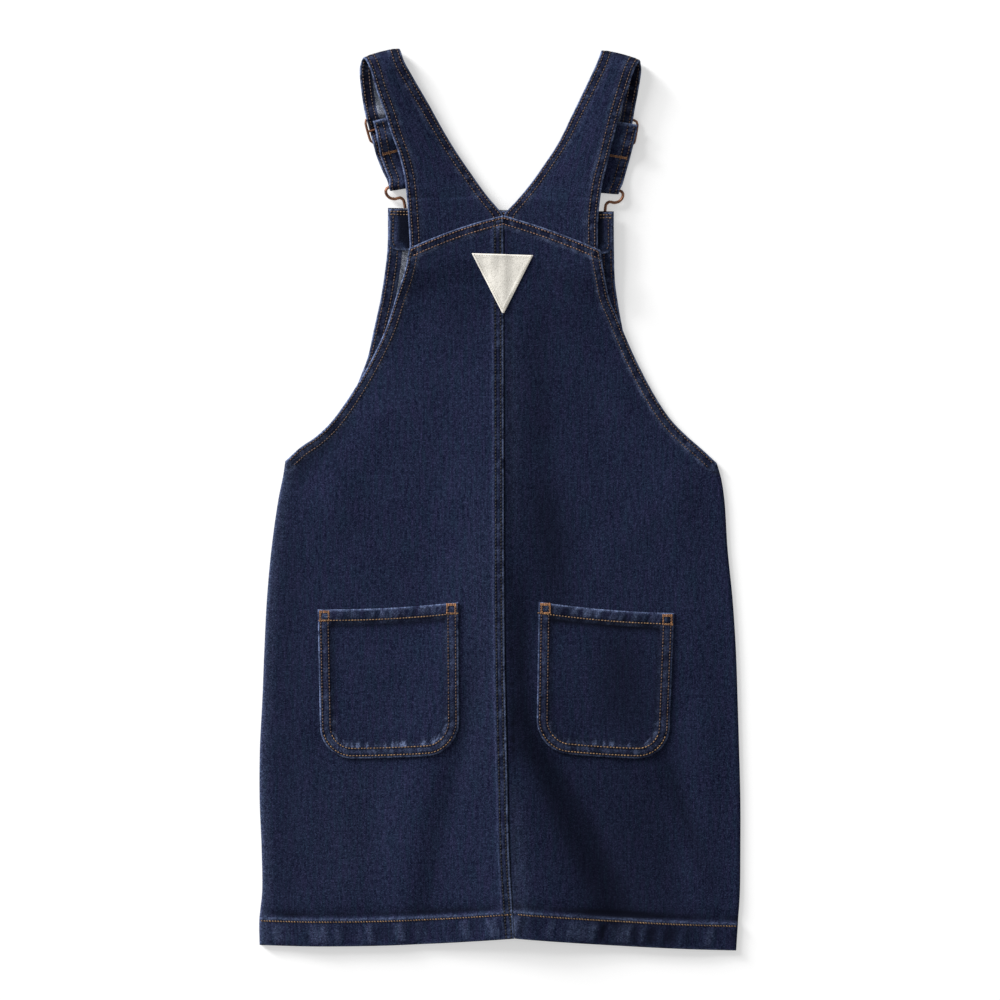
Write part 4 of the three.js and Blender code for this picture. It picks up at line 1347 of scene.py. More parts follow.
def stitch_mesh(rows: list[StitchRow]) -> tuple[Points, Points]:
    """Makes the stitches of several rows, each a short thread that dips at its ends.

    Args:
        rows: The rows.

    Returns:
        The points, in millimetres, and the faces.
    """
    share, girth, arch = np.array(STITCH_RINGS, float).T[:, None, :, None, None]
    rings, sides = len(STITCH_RINGS), STITCH_SIDES
    turn = 2 * np.pi * np.arange(sides)[:, None] / sides
    at = np.arange(rings * sides).reshape(rings, sides)
    nxt = np.roll(at, -1, axis=1)
    tube = np.stack([at[:-1], nxt[:-1], nxt[1:], at[1:]], -1).reshape(-1, 4)
    fan = []
    for ring, flip in ((at[0], True), (at[-1], False)):
        for quad in ((0, 1, 2, 3), (0, 3, 4, 5)):
            corner = [ring[k] for k in quad]
            fan.append(corner[::-1] if flip else corner)
    template = np.concatenate([tube, np.array(fan)])
    points, faces, done = [], [], 0
    for row in rows:
        length = lengths(row.line)
        count = max(1, int(length[-1] / row.pitch))
        rng = np.random.default_rng(row.seed)
        centre = (np.arange(count) + 0.5) * length[-1] / count
        centre += rng.uniform(-0.12, 0.12, count)
        middle = resample(row.line, length, centre)
        before, after = (resample(row.line, length, centre + way * STITCH_REACH) for way in (-1, 1))
        ahead = unit(after - before)
        up = resample(row.up, length, centre)
        up = unit(up - (up * ahead).sum(1)[:, None] * ahead)
        aside = np.cross(ahead, up)
        tilt = row.slant + rng.uniform(-0.08, 0.08, count)
        cos, sin = np.cos(tilt)[:, None], np.sin(tilt)[:, None]
        ahead, aside = ahead * cos + aside * sin, aside * cos - ahead * sin
        middle, ahead, aside, up = (v[:, None, None, :] for v in (middle, ahead, aside, up))
        half, radius = row.length / 2, row.width / 2
        size = rng.uniform(0.9, 1.1, count)[:, None, None, None]
        wide = girth * radius * np.cos(turn)
        high = girth * radius * np.sin(turn) * STITCH_FLATNESS + arch * radius
        made = middle + size * (share * half * ahead + wide * aside + high * up)
        points.append(made.reshape(-1, 3))
        block = rings * sides
        shift = done + block * np.arange(count)
        faces.append((template[None] + shift[:, None, None]).reshape(-1, 4))
        done += block * count
    return np.concatenate(points), np.concatenate(faces)


def sew(name: str, rows: list[StitchRow], finishes: Finishes, thread: Thread) -> None:
    """Makes rows of stitches one piece of one thread."""
    dress(new_piece(name, *stitch_mesh(rows)), [finishes.threads[thread]])


def row_on(cloth: "FlatPiece", line: Points, **sizes: float) -> StitchRow:
    """Lays a row of stitches on a flat piece of cloth.

    Args:
        cloth: The piece.
        line: The row's line, x and y.
        sizes: Sizes of the stitches.

    Returns:
        The row.
    """
    length = lengths(line)
    count = max(3, int(length[-1] / ROW_STEP))
    x, y = resample(line, length, np.linspace(0, length[-1], count)).T
    small = SLOPE_STEP
    height = cloth.surface(x, y)
    slope_x = (cloth.surface(x + small, y) - cloth.surface(x - small, y)) / (2 * small)
    slope_y = (cloth.surface(x, y + small) - cloth.surface(x, y - small)) / (2 * small)
    up = np.stack([-slope_x, -slope_y, np.ones_like(x)], 1)
    return StitchRow(np.stack([x, y, height + ROW_LIFT], 1), up, **sizes)


class FlatPiece:
    """A piece of cloth that lies flat, whose heights can be read at any place."""

    wall = PANEL_WALL
    grid: Points
    on_floor = False

    @property
    def rim(self) -> list[Points]:
        """The lines of the piece's outline: its lowest and highest row, and its sides."""
        return [self.grid[0], self.grid[-1], self.grid[:, 0], self.grid[:, -1]]

    def under(self, x: Points, y: Points) -> Points:
        """Height of the cloth's underside."""
        raise NotImplementedError

    def wrong(self, x: Points, y: Points) -> Points:
        """Which places show the cloth's wrong side, on the side of the piece that has it."""
        return np.ones_like(x)

    def relief(self, x: Points, y: Points) -> Relief:
        """What sewing and wear do at places."""
        raise NotImplementedError

    def surface(self, x: Points, y: Points) -> Points:
        """Height of the cloth's upper side."""
        relief = self.relief(x, y)
        return self.under(x, y) + self.wall + relief.rise + relief.lift

    def shell(self, name: str) -> Piece:
        """Makes the piece's closed shell on its grid of places.

        Args:
            name: The piece's name.

        Returns:
            The piece, without a finish.
        """
        x, y = self.grid[..., 0], self.grid[..., 1]
        relief = self.relief(x, y)
        under, thickness = self.under(x, y), self.wall + relief.rise
        if self.on_floor:
            thickness += relief.lift
        else:
            under += relief.lift
        heights = rounded(under, thickness, nearest(x, y, self.rim))
        sides = [np.stack([x, y, height], -1) for height in heights]
        return mesh_piece(name, sides, self.grid, relief, self.wrong(x, y), self.on_floor)

    def rows_along(
        self, line: Points, depths: tuple[float, ...], inside: tuple[float, float], cut: slice,
        seed: int, **sizes: float,
    ) -> list[StitchRow]:
        """Lays rows of stitches beside a line.

        Args:
            line: The line.
            depths: How far each row is from it.
            inside: A place on the side that the rows are on.
            cut: Which of the line's points the rows follow.
            seed: Which stitches, for the first row.
            sizes: Sizes of the stitches.

        Returns:
            The rows.
        """
        lines = [offset(line, depth, inside)[cut] for depth in depths]
        return [row_on(self, moved, seed=seed + k, **sizes) for k, moved in enumerate(lines)]


@dataclass
class BackPanel(FlatPiece):
    """One half of the back: hemmed skirt, turned armhole and yoke edges, centre seam."""

    side: Side
    finishes: Finishes
    row_step: float = 2.7
    column_step: float = 3.0

    def __post_init__(self) -> None:
        """Draws the grid of places and the four edge lines."""
        self.hem = DeepHem(seed=self.side.pick(30, 60))
        self.armhole = SewnEdge(seed=self.side.pick(100, 110), haze=2.1, row_shade=0.95)
        self.yoke = SewnEdge(
            seed=self.side.pick(120, 130), pucker=0.2, rows=(2.1, 6.8), haze=2.6, row_shade=0.95
        )
        self.fell = SewnEdge(
            depth=FELL_WIDTH, rise=FELL_RISE, rows=(2.3, 6.6), pucker=0.17, edge_wear=1.5,
            band_line=0.1, haze=0.0, row_shade=1.0, band_shade=0.0, seed=140,
        )
        # The right panel has no rows or wear at the seam, only a painted shadow beside the left
        # panel's edge.
        if self.side is Side.RIGHT:
            self.fell = SewnEdge(rise=0.0, rows=(), pucker=0.1, wear=0.0, edge_shade=0.8, seed=150)
        self.grid = self.places()
        self.hem_line, self.top_line = self.grid[0], self.grid[-1]
        self.side_line = self.grid[: self.low_rows + 1, 0]
        self.arm_line = self.grid[self.low_rows :, 0]
        self.seam_line = self.grid[:, -1]

    def places(self) -> Points:
        """Rows from the hem to the yoke, columns from the side to the centre seam.

        Returns:
            The grid of places.
        """
        top = list(reversed(EDGE_COLUMNS))
        parts = []
        for outer, seam, start, end in (
            (SIDE_EDGE[self.side], SEAM_LOW, HEM_LEVELS, [0.0]),
            (ARMHOLE[self.side], SEAM_HIGH, [0.0], top),
        ):
            edges = [Spline(outer), Spline(seam)]
            spans = [edge.span() for edge in edges]
            count = steps(max(spans) - end[0] - start[-1], self.row_step)
            lines = []
            for edge, span in zip(edges, spans):
                between = np.linspace(start[-1], span - end[0], count + 1)[1:-1]
                at = np.concatenate([start, between, span - np.array(end)])
                lines.append(edge.by_length(at))
            parts.append(lines)
        self.low_rows = len(parts[0][0]) - 1
        outer, seam = (np.concatenate([parts[0][k], parts[1][k][1:]]) for k in range(2))
        if self.side is Side.RIGHT:
            seam[:, 0] += SEAM_GAP
        width = np.linalg.norm(seam - outer, axis=1)
        count = steps(width.max() - 2 * EDGE_COLUMNS[-1], self.column_step) - 1
        grid = []
        for k, (a, b) in enumerate(zip(outer, seam)):
            t = graded(width[k], EDGE_COLUMNS, count) / width[k]
            level = k / (len(outer) - 1)
            bow = HEM_BOW[self.side] * (1 - np.clip(level * 6, 0, 1))
            bow += YOKE_BOW[self.side] * smooth(0.75, 1, level)
            x = a[0] + (b[0] - a[0]) * t
            y = a[1] + (b[1] - a[1]) * t + bow * 4 * t * (1 - t)
            grid.append(np.stack([x, y], 1))
        return np.array(grid)

    def under(self, x: Points, y: Points) -> Points:
        """Height of the panel's underside."""
        return back_under(x, y)

    def relief(self, x: Points, y: Points) -> Relief:
        """What the panel's edges, its painted light and shade, and its lying flat do at places."""
        parts = [
            self.hem.relief(*reach(x, y, self.hem_line)),
            self.armhole.relief(*reach(x, y, self.arm_line)),
            self.yoke.relief(*reach(x, y, self.top_line)),
            self.fell.relief(*reach(x, y, self.seam_line)),
        ]
        whole = combined(parts)
        seed = self.side.pick(5, 8)
        calm = 1 - smooth(140, 175, y)
        wave = 0.35 * swell(x, y, 46, seed) + 0.16 * swell(x, y * 0.6, 21, seed + 1)
        side, along = reach(x, y, self.side_line)
        whole.lift += calm * wave * smooth(6, 30, side)
        # Painted light on the drape's rises and painted shade in its hollows.
        light, painted_shade = dye(x, y)
        whole.pale += light
        whole.shade += painted_shade
        # The left side, which faces the lamps, is paler: rubbed wear right at its edge, and painted
        # light fading over 12 mm from it.
        if self.side is Side.LEFT:
            worn = (1 - smooth(0, 3, side)) * (0.8 + 0.2 * ripple(along, 7, 170))
            whole.pale = whole.pale + 0.12 * worn + 0.12 * (1 - smooth(0, 12, side))
        return whole

    def build(self) -> None:
        """Makes the panel and its stitches."""
        piece = self.shell(f"back_{self.side.value}")
        dress(piece, self.finishes.cloth, (f"back_panel_{self.side.value}",))
        self.side.pick(0.0935, 0.0925)
        self.stitch()

    def stitch(self) -> None:
        """Sews the hem, the armhole, the yoke's edge and the centre seam."""
        inside = (self.side.pick(-60.0, 60.0), 60.0)
        seed = self.side.pick(200, 300)
        name = self.side.value
        sizes = {"pitch": 2.2, "length": 2.0, "width": 0.92, "slant": 0.5}
        rows = self.rows_along(self.hem_line, (HEM_DEPTH,), inside, slice(2, -2), seed, **sizes)
        sew(f"hem_stitches_{name}", rows, self.finishes, Thread.GOLD)
        rows = self.rows_along(self.arm_line, self.armhole.rows, inside, slice(1, -2), seed + 1)
        sew(f"edge_stitches_{name}", rows, self.finishes, Thread.BROWN)
        rows = self.rows_along(
            self.top_line, self.yoke.rows, inside, slice(2, -1), seed + 5, width=0.95
        )
        sew(f"yoke_stitches_{name}", rows, self.finishes, Thread.RUST)
        if self.side is Side.LEFT:
            rows = self.rows_along(self.seam_line, self.fell.rows, inside, slice(2, -4), seed + 9)
            sew("seam_stitches", rows, self.finishes, Thread.DARK)


@dataclass
class FrontPanel(FlatPiece):
    """The front in one, bib and skirt, with its wrong side up."""

    finishes: Finishes
    band: float = 10.0
    inset: float = 0.4
    rows: tuple[float, float] = (2.6, 8.2)
    skirt_rows: int = 90
    bib_rows: int = 84
    on_floor: bool = True
    columns: int = 60

    def __post_init__(self) -> None:
        """Draws the grid of places and the edge lines."""
        self.edges = {
            side: SewnEdge(depth=self.band, rise=0.45, rows=(8.2,), pucker=0.12, seed=410 + k)
            for k, side in enumerate(Side)
        }
        edge_lines = []
        for side in Side:
            low, high = Spline(SIDE_EDGE[side]), Spline(BIB_EDGE[side])
            skirt = np.linspace(HEM_LEVELS[-1], low.span(), self.skirt_rows)[1:]
            levels = np.concatenate([HEM_LEVELS, skirt])
            upper = np.linspace(0, high.span(), self.bib_rows)[1:]
            edge_lines.append(np.concatenate([low.by_length(levels), high.by_length(upper)]))
        self.low_rows = len(levels) - 1
        left, right = edge_lines
        sag = Spline([SIDE_EDGE[Side.LEFT][0], SEAM_LOW[0], SIDE_EDGE[Side.RIGHT][0]])
        grid = []
        for k, (a, b) in enumerate(zip(left, right)):
            width = b[0] - a[0] - 2 * self.inset
            d = graded(width, EDGE_COLUMNS, self.columns)
            t = d / width
            level = k / (len(left) - 1)
            line = SIDE_EDGE[Side.LEFT][0][1] * (1 - t) + SIDE_EDGE[Side.RIGHT][0][1] * t
            dip = (sag.at(t)[:, 1] - line) * (1 - np.clip(level * 4, 0, 1))
            x = a[0] + self.inset + d
            y = a[1] + (b[1] - a[1]) * t + dip + (self.inset if k == 0 else 0)
            grid.append(np.stack([x, y], 1))
        self.grid = np.array(grid)
        self.arm_lines = {side: self.grid[self.low_rows :, side.pick(0, -1)] for side in Side}

    def under(self, x: Points, y: Points) -> Points:
        """Height of the front's underside, which rests on the surface."""
        return front_under(x, y)

    def wrong(self, x: Points, y: Points) -> Points:
        """The wrong side shows above, inside the turned armhole edges."""
        return (nearest(x, y, list(self.arm_lines.values())) > self.band + 0.3).astype(float)

    def relief(self, x: Points, y: Points) -> Relief:
        """What the front's edges do at places; only its upper side follows them."""
        parts = [self.edges[side].relief(*reach(x, y, self.arm_lines[side])) for side in Side]
        whole = combined(parts)
        whole.lift *= smooth(40, 70, y)
        whole.rise *= smooth(31, 60, y)
        whole.shade *= smooth(31, 60, y)
        return whole

    def build(self) -> None:
        """Makes the front and the stitches of its armholes."""
        piece = self.shell("front_cloth")
        dress(piece, self.finishes.cloth, ("front_panel",))
        rows = []
        inside = (0.0, 120.0)
        for k, side in enumerate(Side):
            line = self.arm_lines[side]
            for depth in self.rows:
                rows += self.rows_along(line, (depth,), inside, slice(8, -2), 430 + k)
        sew("front_edge_stitches", rows, self.finishes, Thread.BROWN)


@dataclass
class Facing(FlatPiece):
    """The bib's top edge, folded to the inside, with a curled lower edge."""

    finishes: Finishes
    depth: float = 33.0
    inset: float = 1.6
    corner: float = 7.0
    wall: float = FACING_WALL

    def __post_init__(self) -> None:
        """Draws the grid of places."""
        last = self.depth - np.array(FACING_LEVELS)
        down = np.concatenate([EDGE_COLUMNS, np.linspace(12, self.depth - 7, 9)[1:], last])
        left_rows, right_rows = (np.array(BIB_EDGE[side], float) for side in Side)
        across = np.concatenate([EDGE_COLUMNS, np.linspace(12, 165, 52)[1:-1]])
        grid = []
        for depth in down + 1:
            left_y, right_y = (BIB_TOP[side][1] - depth for side in Side)
            short = max(0.0, self.corner - (self.depth + 1 - depth))
            inset = self.inset + self.corner - math.sqrt(self.corner**2 - short**2)
            left = np.interp(left_y, left_rows[:, 1], left_rows[:, 0]) + inset
            right = np.interp(right_y, right_rows[:, 1], right_rows[:, 0]) - inset
            width = right - left
            d = np.concatenate([across, width - np.array(EDGE_COLUMNS[::-1])])
            t = d / width
            grid.append(np.stack([left + d, left_y + (right_y - left_y) * t], 1))
        self.grid = np.array(grid)
        self.edge = SewnEdge(depth=3.4, rise=0.2, rows=(2.0, 4.4), pucker=0.18, seed=500)
        self.side_edge = SewnEdge(
            depth=3.0, rise=0.1, rows=(3.2,), pucker=0.12, edge_wear=0.6, seed=510
        )

    def under(self, x: Points, y: Points) -> Points:
        """Height of the facing's underside on the bib."""
        return front_under(x, y) + PANEL_WALL + FACING_GAP

    def relief(self, x: Points, y: Points) -> Relief:
        """What the facing's edges do at places, with its curled lower edge."""
        top = self.edge.relief(*reach(x, y, self.grid[0]))
        sides = [self.side_edge.relief(*reach(x, y, self.grid[:, k])) for k in (0, -1)]
        whole = combined([top, *sides])
        low, along = reach(x, y, self.grid[-1])
        # The lower edge curls up, the cloth bulges beside its sides, and further in the back's
        # painted shadow lies on it.
        curl = window(low, -1, 0, 1.5, 9)
        whole.lift += 0.35 * curl * (0.8 + 0.4 * ripple(along, 9, 520))
        from_side = nearest(x, y, self.rim[2:])
        bulge = window(from_side, 3, 9, 12, 20) * window(low, 2, 8, 20, 30)
        whole.lift += 0.5 * bulge
        whole.pale = whole.pale + 0.05 * bulge + 0.5 * (1 - smooth(0.6, 1.8, low))
        dark = window(from_side, 5.5, 8.5, 60, 90)
        whole.shade += 0.95 * dark
        whole.pale *= 1 - 0.8 * dark * smooth(1.5, 3, low)
        return whole

    def build(self) -> None:
        """Makes the facing and its stitches."""
        piece = self.shell("facing_cloth")
        dress(piece, self.finishes.cloth, ("bib_facing",))
        inside = (0.0, 216.0)
        rows = self.rows_along(self.grid[0], self.edge.rows, inside, slice(2, -2), 530)
        sew("bib_top_stitches", rows, self.finishes, Thread.GOLD)
        rows = []
        for k in (0, -1):
            line = self.grid[:, k]
            rows += self.rows_along(line, self.side_edge.rows, inside, slice(6, -2), 540 + k)
        sew("bib_side_stitches", rows, self.finishes, Thread.BROWN)


class FrontRun:
    """The line of a strap's front run, shoulder to buckle."""

    def __init__(self, side: Side) -> None:
        """Keeps the run's outer edge as a fine line."""
        self.side = side
        self.fine = Spline(STRAP_FRONT[side]).fine()
        self.length = lengths(self.fine)

    def at(self, along: float) -> tuple[Points, Points, Points]:
        """Reads the run.

        Args:
            along: Distance from the shoulder.

        Returns:
            The strap's middle, the direction down it and the one across it to the neck.
        """
        place = resample(self.fine, self.length, np.array([along - 0.5, along, along + 0.5]))
        down = place[2] - place[0]
        down /= np.linalg.norm(down)
        across = np.array([-down[1], down[0]]) * self.side.towards_neck
        at_buckle = float(smooth(TURN_START, TURN_END, np.array(along)))
        middle = place[1] + across * (STRAP_WIDTH / 2 + BUCKLE_SHIFT[self.side] * at_buckle)
        turn = BUCKLE_TURN[self.side] * at_buckle
        spin = np.array([[math.cos(turn), -math.sin(turn)], [math.sin(turn), math.cos(turn)]])
        return middle, spin @ down, spin @ across


@dataclass
class Strap:
    """A strap from under the back's yoke edge over the shoulder to slider and buckle."""

    side: Side
    finishes: Finishes
    step: float = 1.9
    crown: float = 1.0
    bow: float = 1.5
    band: float = 8.4
    rows: tuple[float, float] = (2.6, 7.6)
    right_span: tuple[float, float] = (4.0, 1.5)
    wrong_span: tuple[float, float] = (150.0, 62.0)
    bar_rows: tuple[float, float] = (27.6, 28.7)
    bar_inset: float = 2.0
    columns: int = 14
    samples: int = 4000
    blur: int = 25
    bend_cost: float = 4.0

    def __post_init__(self) -> None:
        """Joins the back run's and the front run's rows to the two edge curves."""
        rows = np.array(STRAP_BACK[self.side], float)
        outer, inner = list(rows[:, :3]), list(rows[:, 3:])
        run = FrontRun(self.side)
        for i, (along, height) in enumerate(STRAP_WEAVE):
            middle, _, across = run.at(along)
            share = min(1.0, max(0.0, (BUCKLE_AT - along) / (BUCKLE_AT - SLIDER_AT)))
            low, high = RETURN_SHIFT_LOW[self.side], RETURN_SHIFT[self.side]
            shift = 0.0 if i <= RETURN_FROM else low + (high - low) * share
            narrow = float(smooth(TURN_START, TURN_END, np.array(along)))
            half = (STRAP_WIDTH + (STRAP_END_WIDTH - STRAP_WIDTH) * narrow) / 2
            for edge, way in ((outer, -1), (inner, 1)):
                place = middle + across * (shift + way * half)
                edge.append(np.array([place[0], place[1], height]))
        self.outer, self.inner = Spline(np.array(outer)), Spline(np.array(inner))
        self.back_share = len(rows) / (len(outer) - 1)
        self.rest_share = YOKE_ROWS / (len(outer) - 1)
        self.stations = self.spaced()

    def middle(self, t: Points, u: Points) -> Points:
        """Places of the strap's middle surface.

        Args:
            t: Shares along its rows.
            u: Shares across it, outer edge to inner.

        Returns:
            The places, in millimetres.
        """
        shape = np.shape(t)
        t, u = np.ravel(t), np.ravel(u)
        p = self.outer.at(t) * (1 - u)[:, None] + self.inner.at(t) * u[:, None]
        # The back run is a little arched across, and bows away from the hem at the shoulder.
        arch = 4 * u * (1 - u)
        back = t / self.back_share
        p[:, 2] += self.crown * np.sin(np.pi * np.clip((back - 0.25) / 0.6, 0, 1)) * arch
        p[:, 1] += self.bow * np.sin(np.pi * np.clip((back - 0.7) / 0.42, 0, 1)) * arch
        rest = np.maximum(p[:, 2], yoke_rest(p[:, 0], p[:, 1]))
        p[:, 2] = np.where(t < self.rest_share, rest, p[:, 2])
        return p.reshape(*shape, 3)

    def spaced(self) -> Points:
        """Shares along the strap at even steps, closer where it turns."""
        t = np.linspace(0, 1, self.samples)
        ahead = np.diff(self.middle(t, np.full_like(t, 0.5)), axis=0)
        step = np.linalg.norm(ahead, axis=1)
        bend = np.linalg.norm(np.diff(unit(ahead), axis=0), axis=1)
        blur = np.ones(self.blur) / self.blur
        bend = np.convolve(np.concatenate([bend, bend[-1:]]), blur, "same")
        effort = step + self.bend_cost * bend
        total = np.concatenate([[0], np.cumsum(effort)])
        count = int(total[-1] / self.step)
        return np.interp(np.linspace(0, total[-1], count + 1), total, t)

    def grids(self, stations: Points, across: Points) -> tuple[Points, Points]:
        """Places and normals on a grid of the strap.

        Args:
            stations: Shares along the strap.
            across: Distances from the outer edge as a share of the width, one row a station.

        Returns:
            The middle's places, and the normals on the cloth's right side.
        """
        t = np.repeat(stations[:, None], across.shape[1], 1)
        small = 1e-3
        after, before = np.minimum(1, t + small), np.maximum(0, t - small)
        ahead = self.middle(after, across) - self.middle(before, across)
        inner, outer = np.minimum(1, across + small), np.maximum(0, across - small)
        aside = self.middle(t, inner) - self.middle(t, outer)
        normal = unit(np.cross(ahead, aside) * -self.side.towards_neck)
        return self.middle(t, across), normal

    def widths(self, stations: Points) -> Points:
        """The strap's width at each station."""
        return np.linalg.norm(self.outer.at(stations) - self.inner.at(stations), axis=1)

    def along(self) -> Points:
        """Distance of each station from the strap's start, on its middle line."""
        return lengths(self.middle(self.stations, np.full_like(self.stations, 0.5)))

    def relief(self, along: Points, distance: Points) -> Relief:
        """What the strap's two sewn edges do, from the distances across it."""
        seed = self.side.pick(600, 640)
        parts = []
        for k in range(2):
            edge = SewnEdge(
                depth=self.band, rise=0.3, rows=self.rows, pucker=0.14, seed=seed + 10 * k,
                row_shade=0.9,
            )
            parts.append(edge.relief(distance[k], along))
        return combined(parts)

    def cloth(self) -> Piece:
        """Makes the strap's closed shell.

        Returns:
            The piece, without a finish.
        """
        width = self.widths(self.stations)
        across = np.array([graded(w, EDGE_COLUMNS[:-1], self.columns) / w for w in width])
        place, normal = self.grids(self.stations, across)
        along = np.repeat(self.along()[:, None], across.shape[1], 1)
        d = across * width[:, None]
        both = (d, width[:, None] - d)
        relief = self.relief(along, both)
        remaining = along[-1, 0] - along
        from_edge = np.minimum(np.minimum(*both), np.minimum(along, remaining))
        turned = np.clip(1 - from_edge / EDGE_ROUND, 0, 1)
        half = (STRAP_WALL / 2) * np.sqrt(1 - turned * turned) * 0.85 + STRAP_WALL * 0.075
        # Puckers are lower under the yoke and where the strap runs through its hardware.
        calm = 0.5 + 0.5 * smooth(30, 60, along) * smooth(120, 150, remaining)
        outward = half + (0.6 * relief.rise + relief.lift) * calm * (1 - turned)
        inward = half - relief.lift * 0.5 * calm * (1 - turned)
        sides = [place + normal * outward[..., None], place - normal * inward[..., None]]
        for side in sides:
            side[..., 2] = np.maximum(side[..., 2], FLOOR_GAP)
        relief.pale += 0.5 * window(remaining, -1, 0, 1.0, 2.2)
        for start, depth in STRAP_SHADOWS:
            relief.shade += depth * window(remaining, start, start + 12, 178, 188)
        wrong = (np.minimum(*both) > self.band + 0.2).astype(float)
        uv = np.stack([d, along], -1)
        name = f"strap_{self.side.value}_cloth"
        return mesh_piece(name, sides, uv, relief, wrong, wrong_above=False)

    def build(self) -> None:
        """Makes the strap and its stitches."""
        piece = self.cloth()
        dress(piece, self.finishes.cloth, (f"strap_{self.side.value}",))
        self.stitch(self.along()[-1])

    def edge_rows(
        self, depth: float, outer: bool, span: tuple[float, float], face: int
    ) -> list[StitchRow]:
        """Rows of stitches along one of the strap's edges, where its side faces up.

        Args:
            depth: Distance from the edge.
            outer: Whether it is the edge away from the neck.
            span: Where the row starts and ends along the strap.
            face: 1 on the cloth's right side, -1 on its wrong side.

        Returns:
            The rows.
        """
        length = self.along()
        at = np.arange(span[0], span[1], STRAP_ROW_STEP)
        t = np.interp(at, length, self.stations)
        width = self.widths(t)
        u = depth / width if outer else 1 - depth / width
        place, normal = self.grids(t, u[:, None])
        up = normal[:, 0] * face
        seed = 700 + int(depth) + (10 if outer else 0) + (100 if face < 0 else 0)
        line = place[:, 0] + up * (STRAP_WALL / 2 + STRAP_ROW_LIFT)
        seen = up[:, 2] > FACES_UP
        cuts = np.flatnonzero(np.diff(seen.astype(int))) + 1
        rows = []
        for run in np.split(np.arange(len(at)), cuts):
            if len(run) > 4 and seen[run[0]]:
                rows.append(StitchRow(line[run], up[run], seed=seed, pitch=2.6))
        return rows

    def stitch(self, total: float) -> None:
        """Sews both edges, and the bar across the strap's end."""
        rows = []
        for outer in (True, False):
            for depth in self.rows:
                for face, (start, end) in ((1, self.right_span), (-1, self.wrong_span)):
                    rows += self.edge_rows(depth, outer, (start, total - end), face)
        sew(f"strap_stitches_{self.side.value}", rows, self.finishes, Thread.BROWN)
        length = self.along()
        bars = []
        for back in self.bar_rows:
            t = np.interp([total - back], length, self.stations)
            width = self.widths(t)[0]
            u = np.linspace(self.bar_inset, width - self.bar_inset, 40) / width
            place, normal = self.grids(t, u[None, :])
            line = place[0] + normal[0] * (STRAP_WALL / 2 + STRAP_BAR_LIFT)
            bar = StitchRow(line, normal[0], pitch=1.5, length=1.7, width=0.6, seed=760, slant=0.3)
            bars.append(bar)
        sew(f"strap_bar_{self.side.value}", bars, self.finishes, Thread.COPPER)


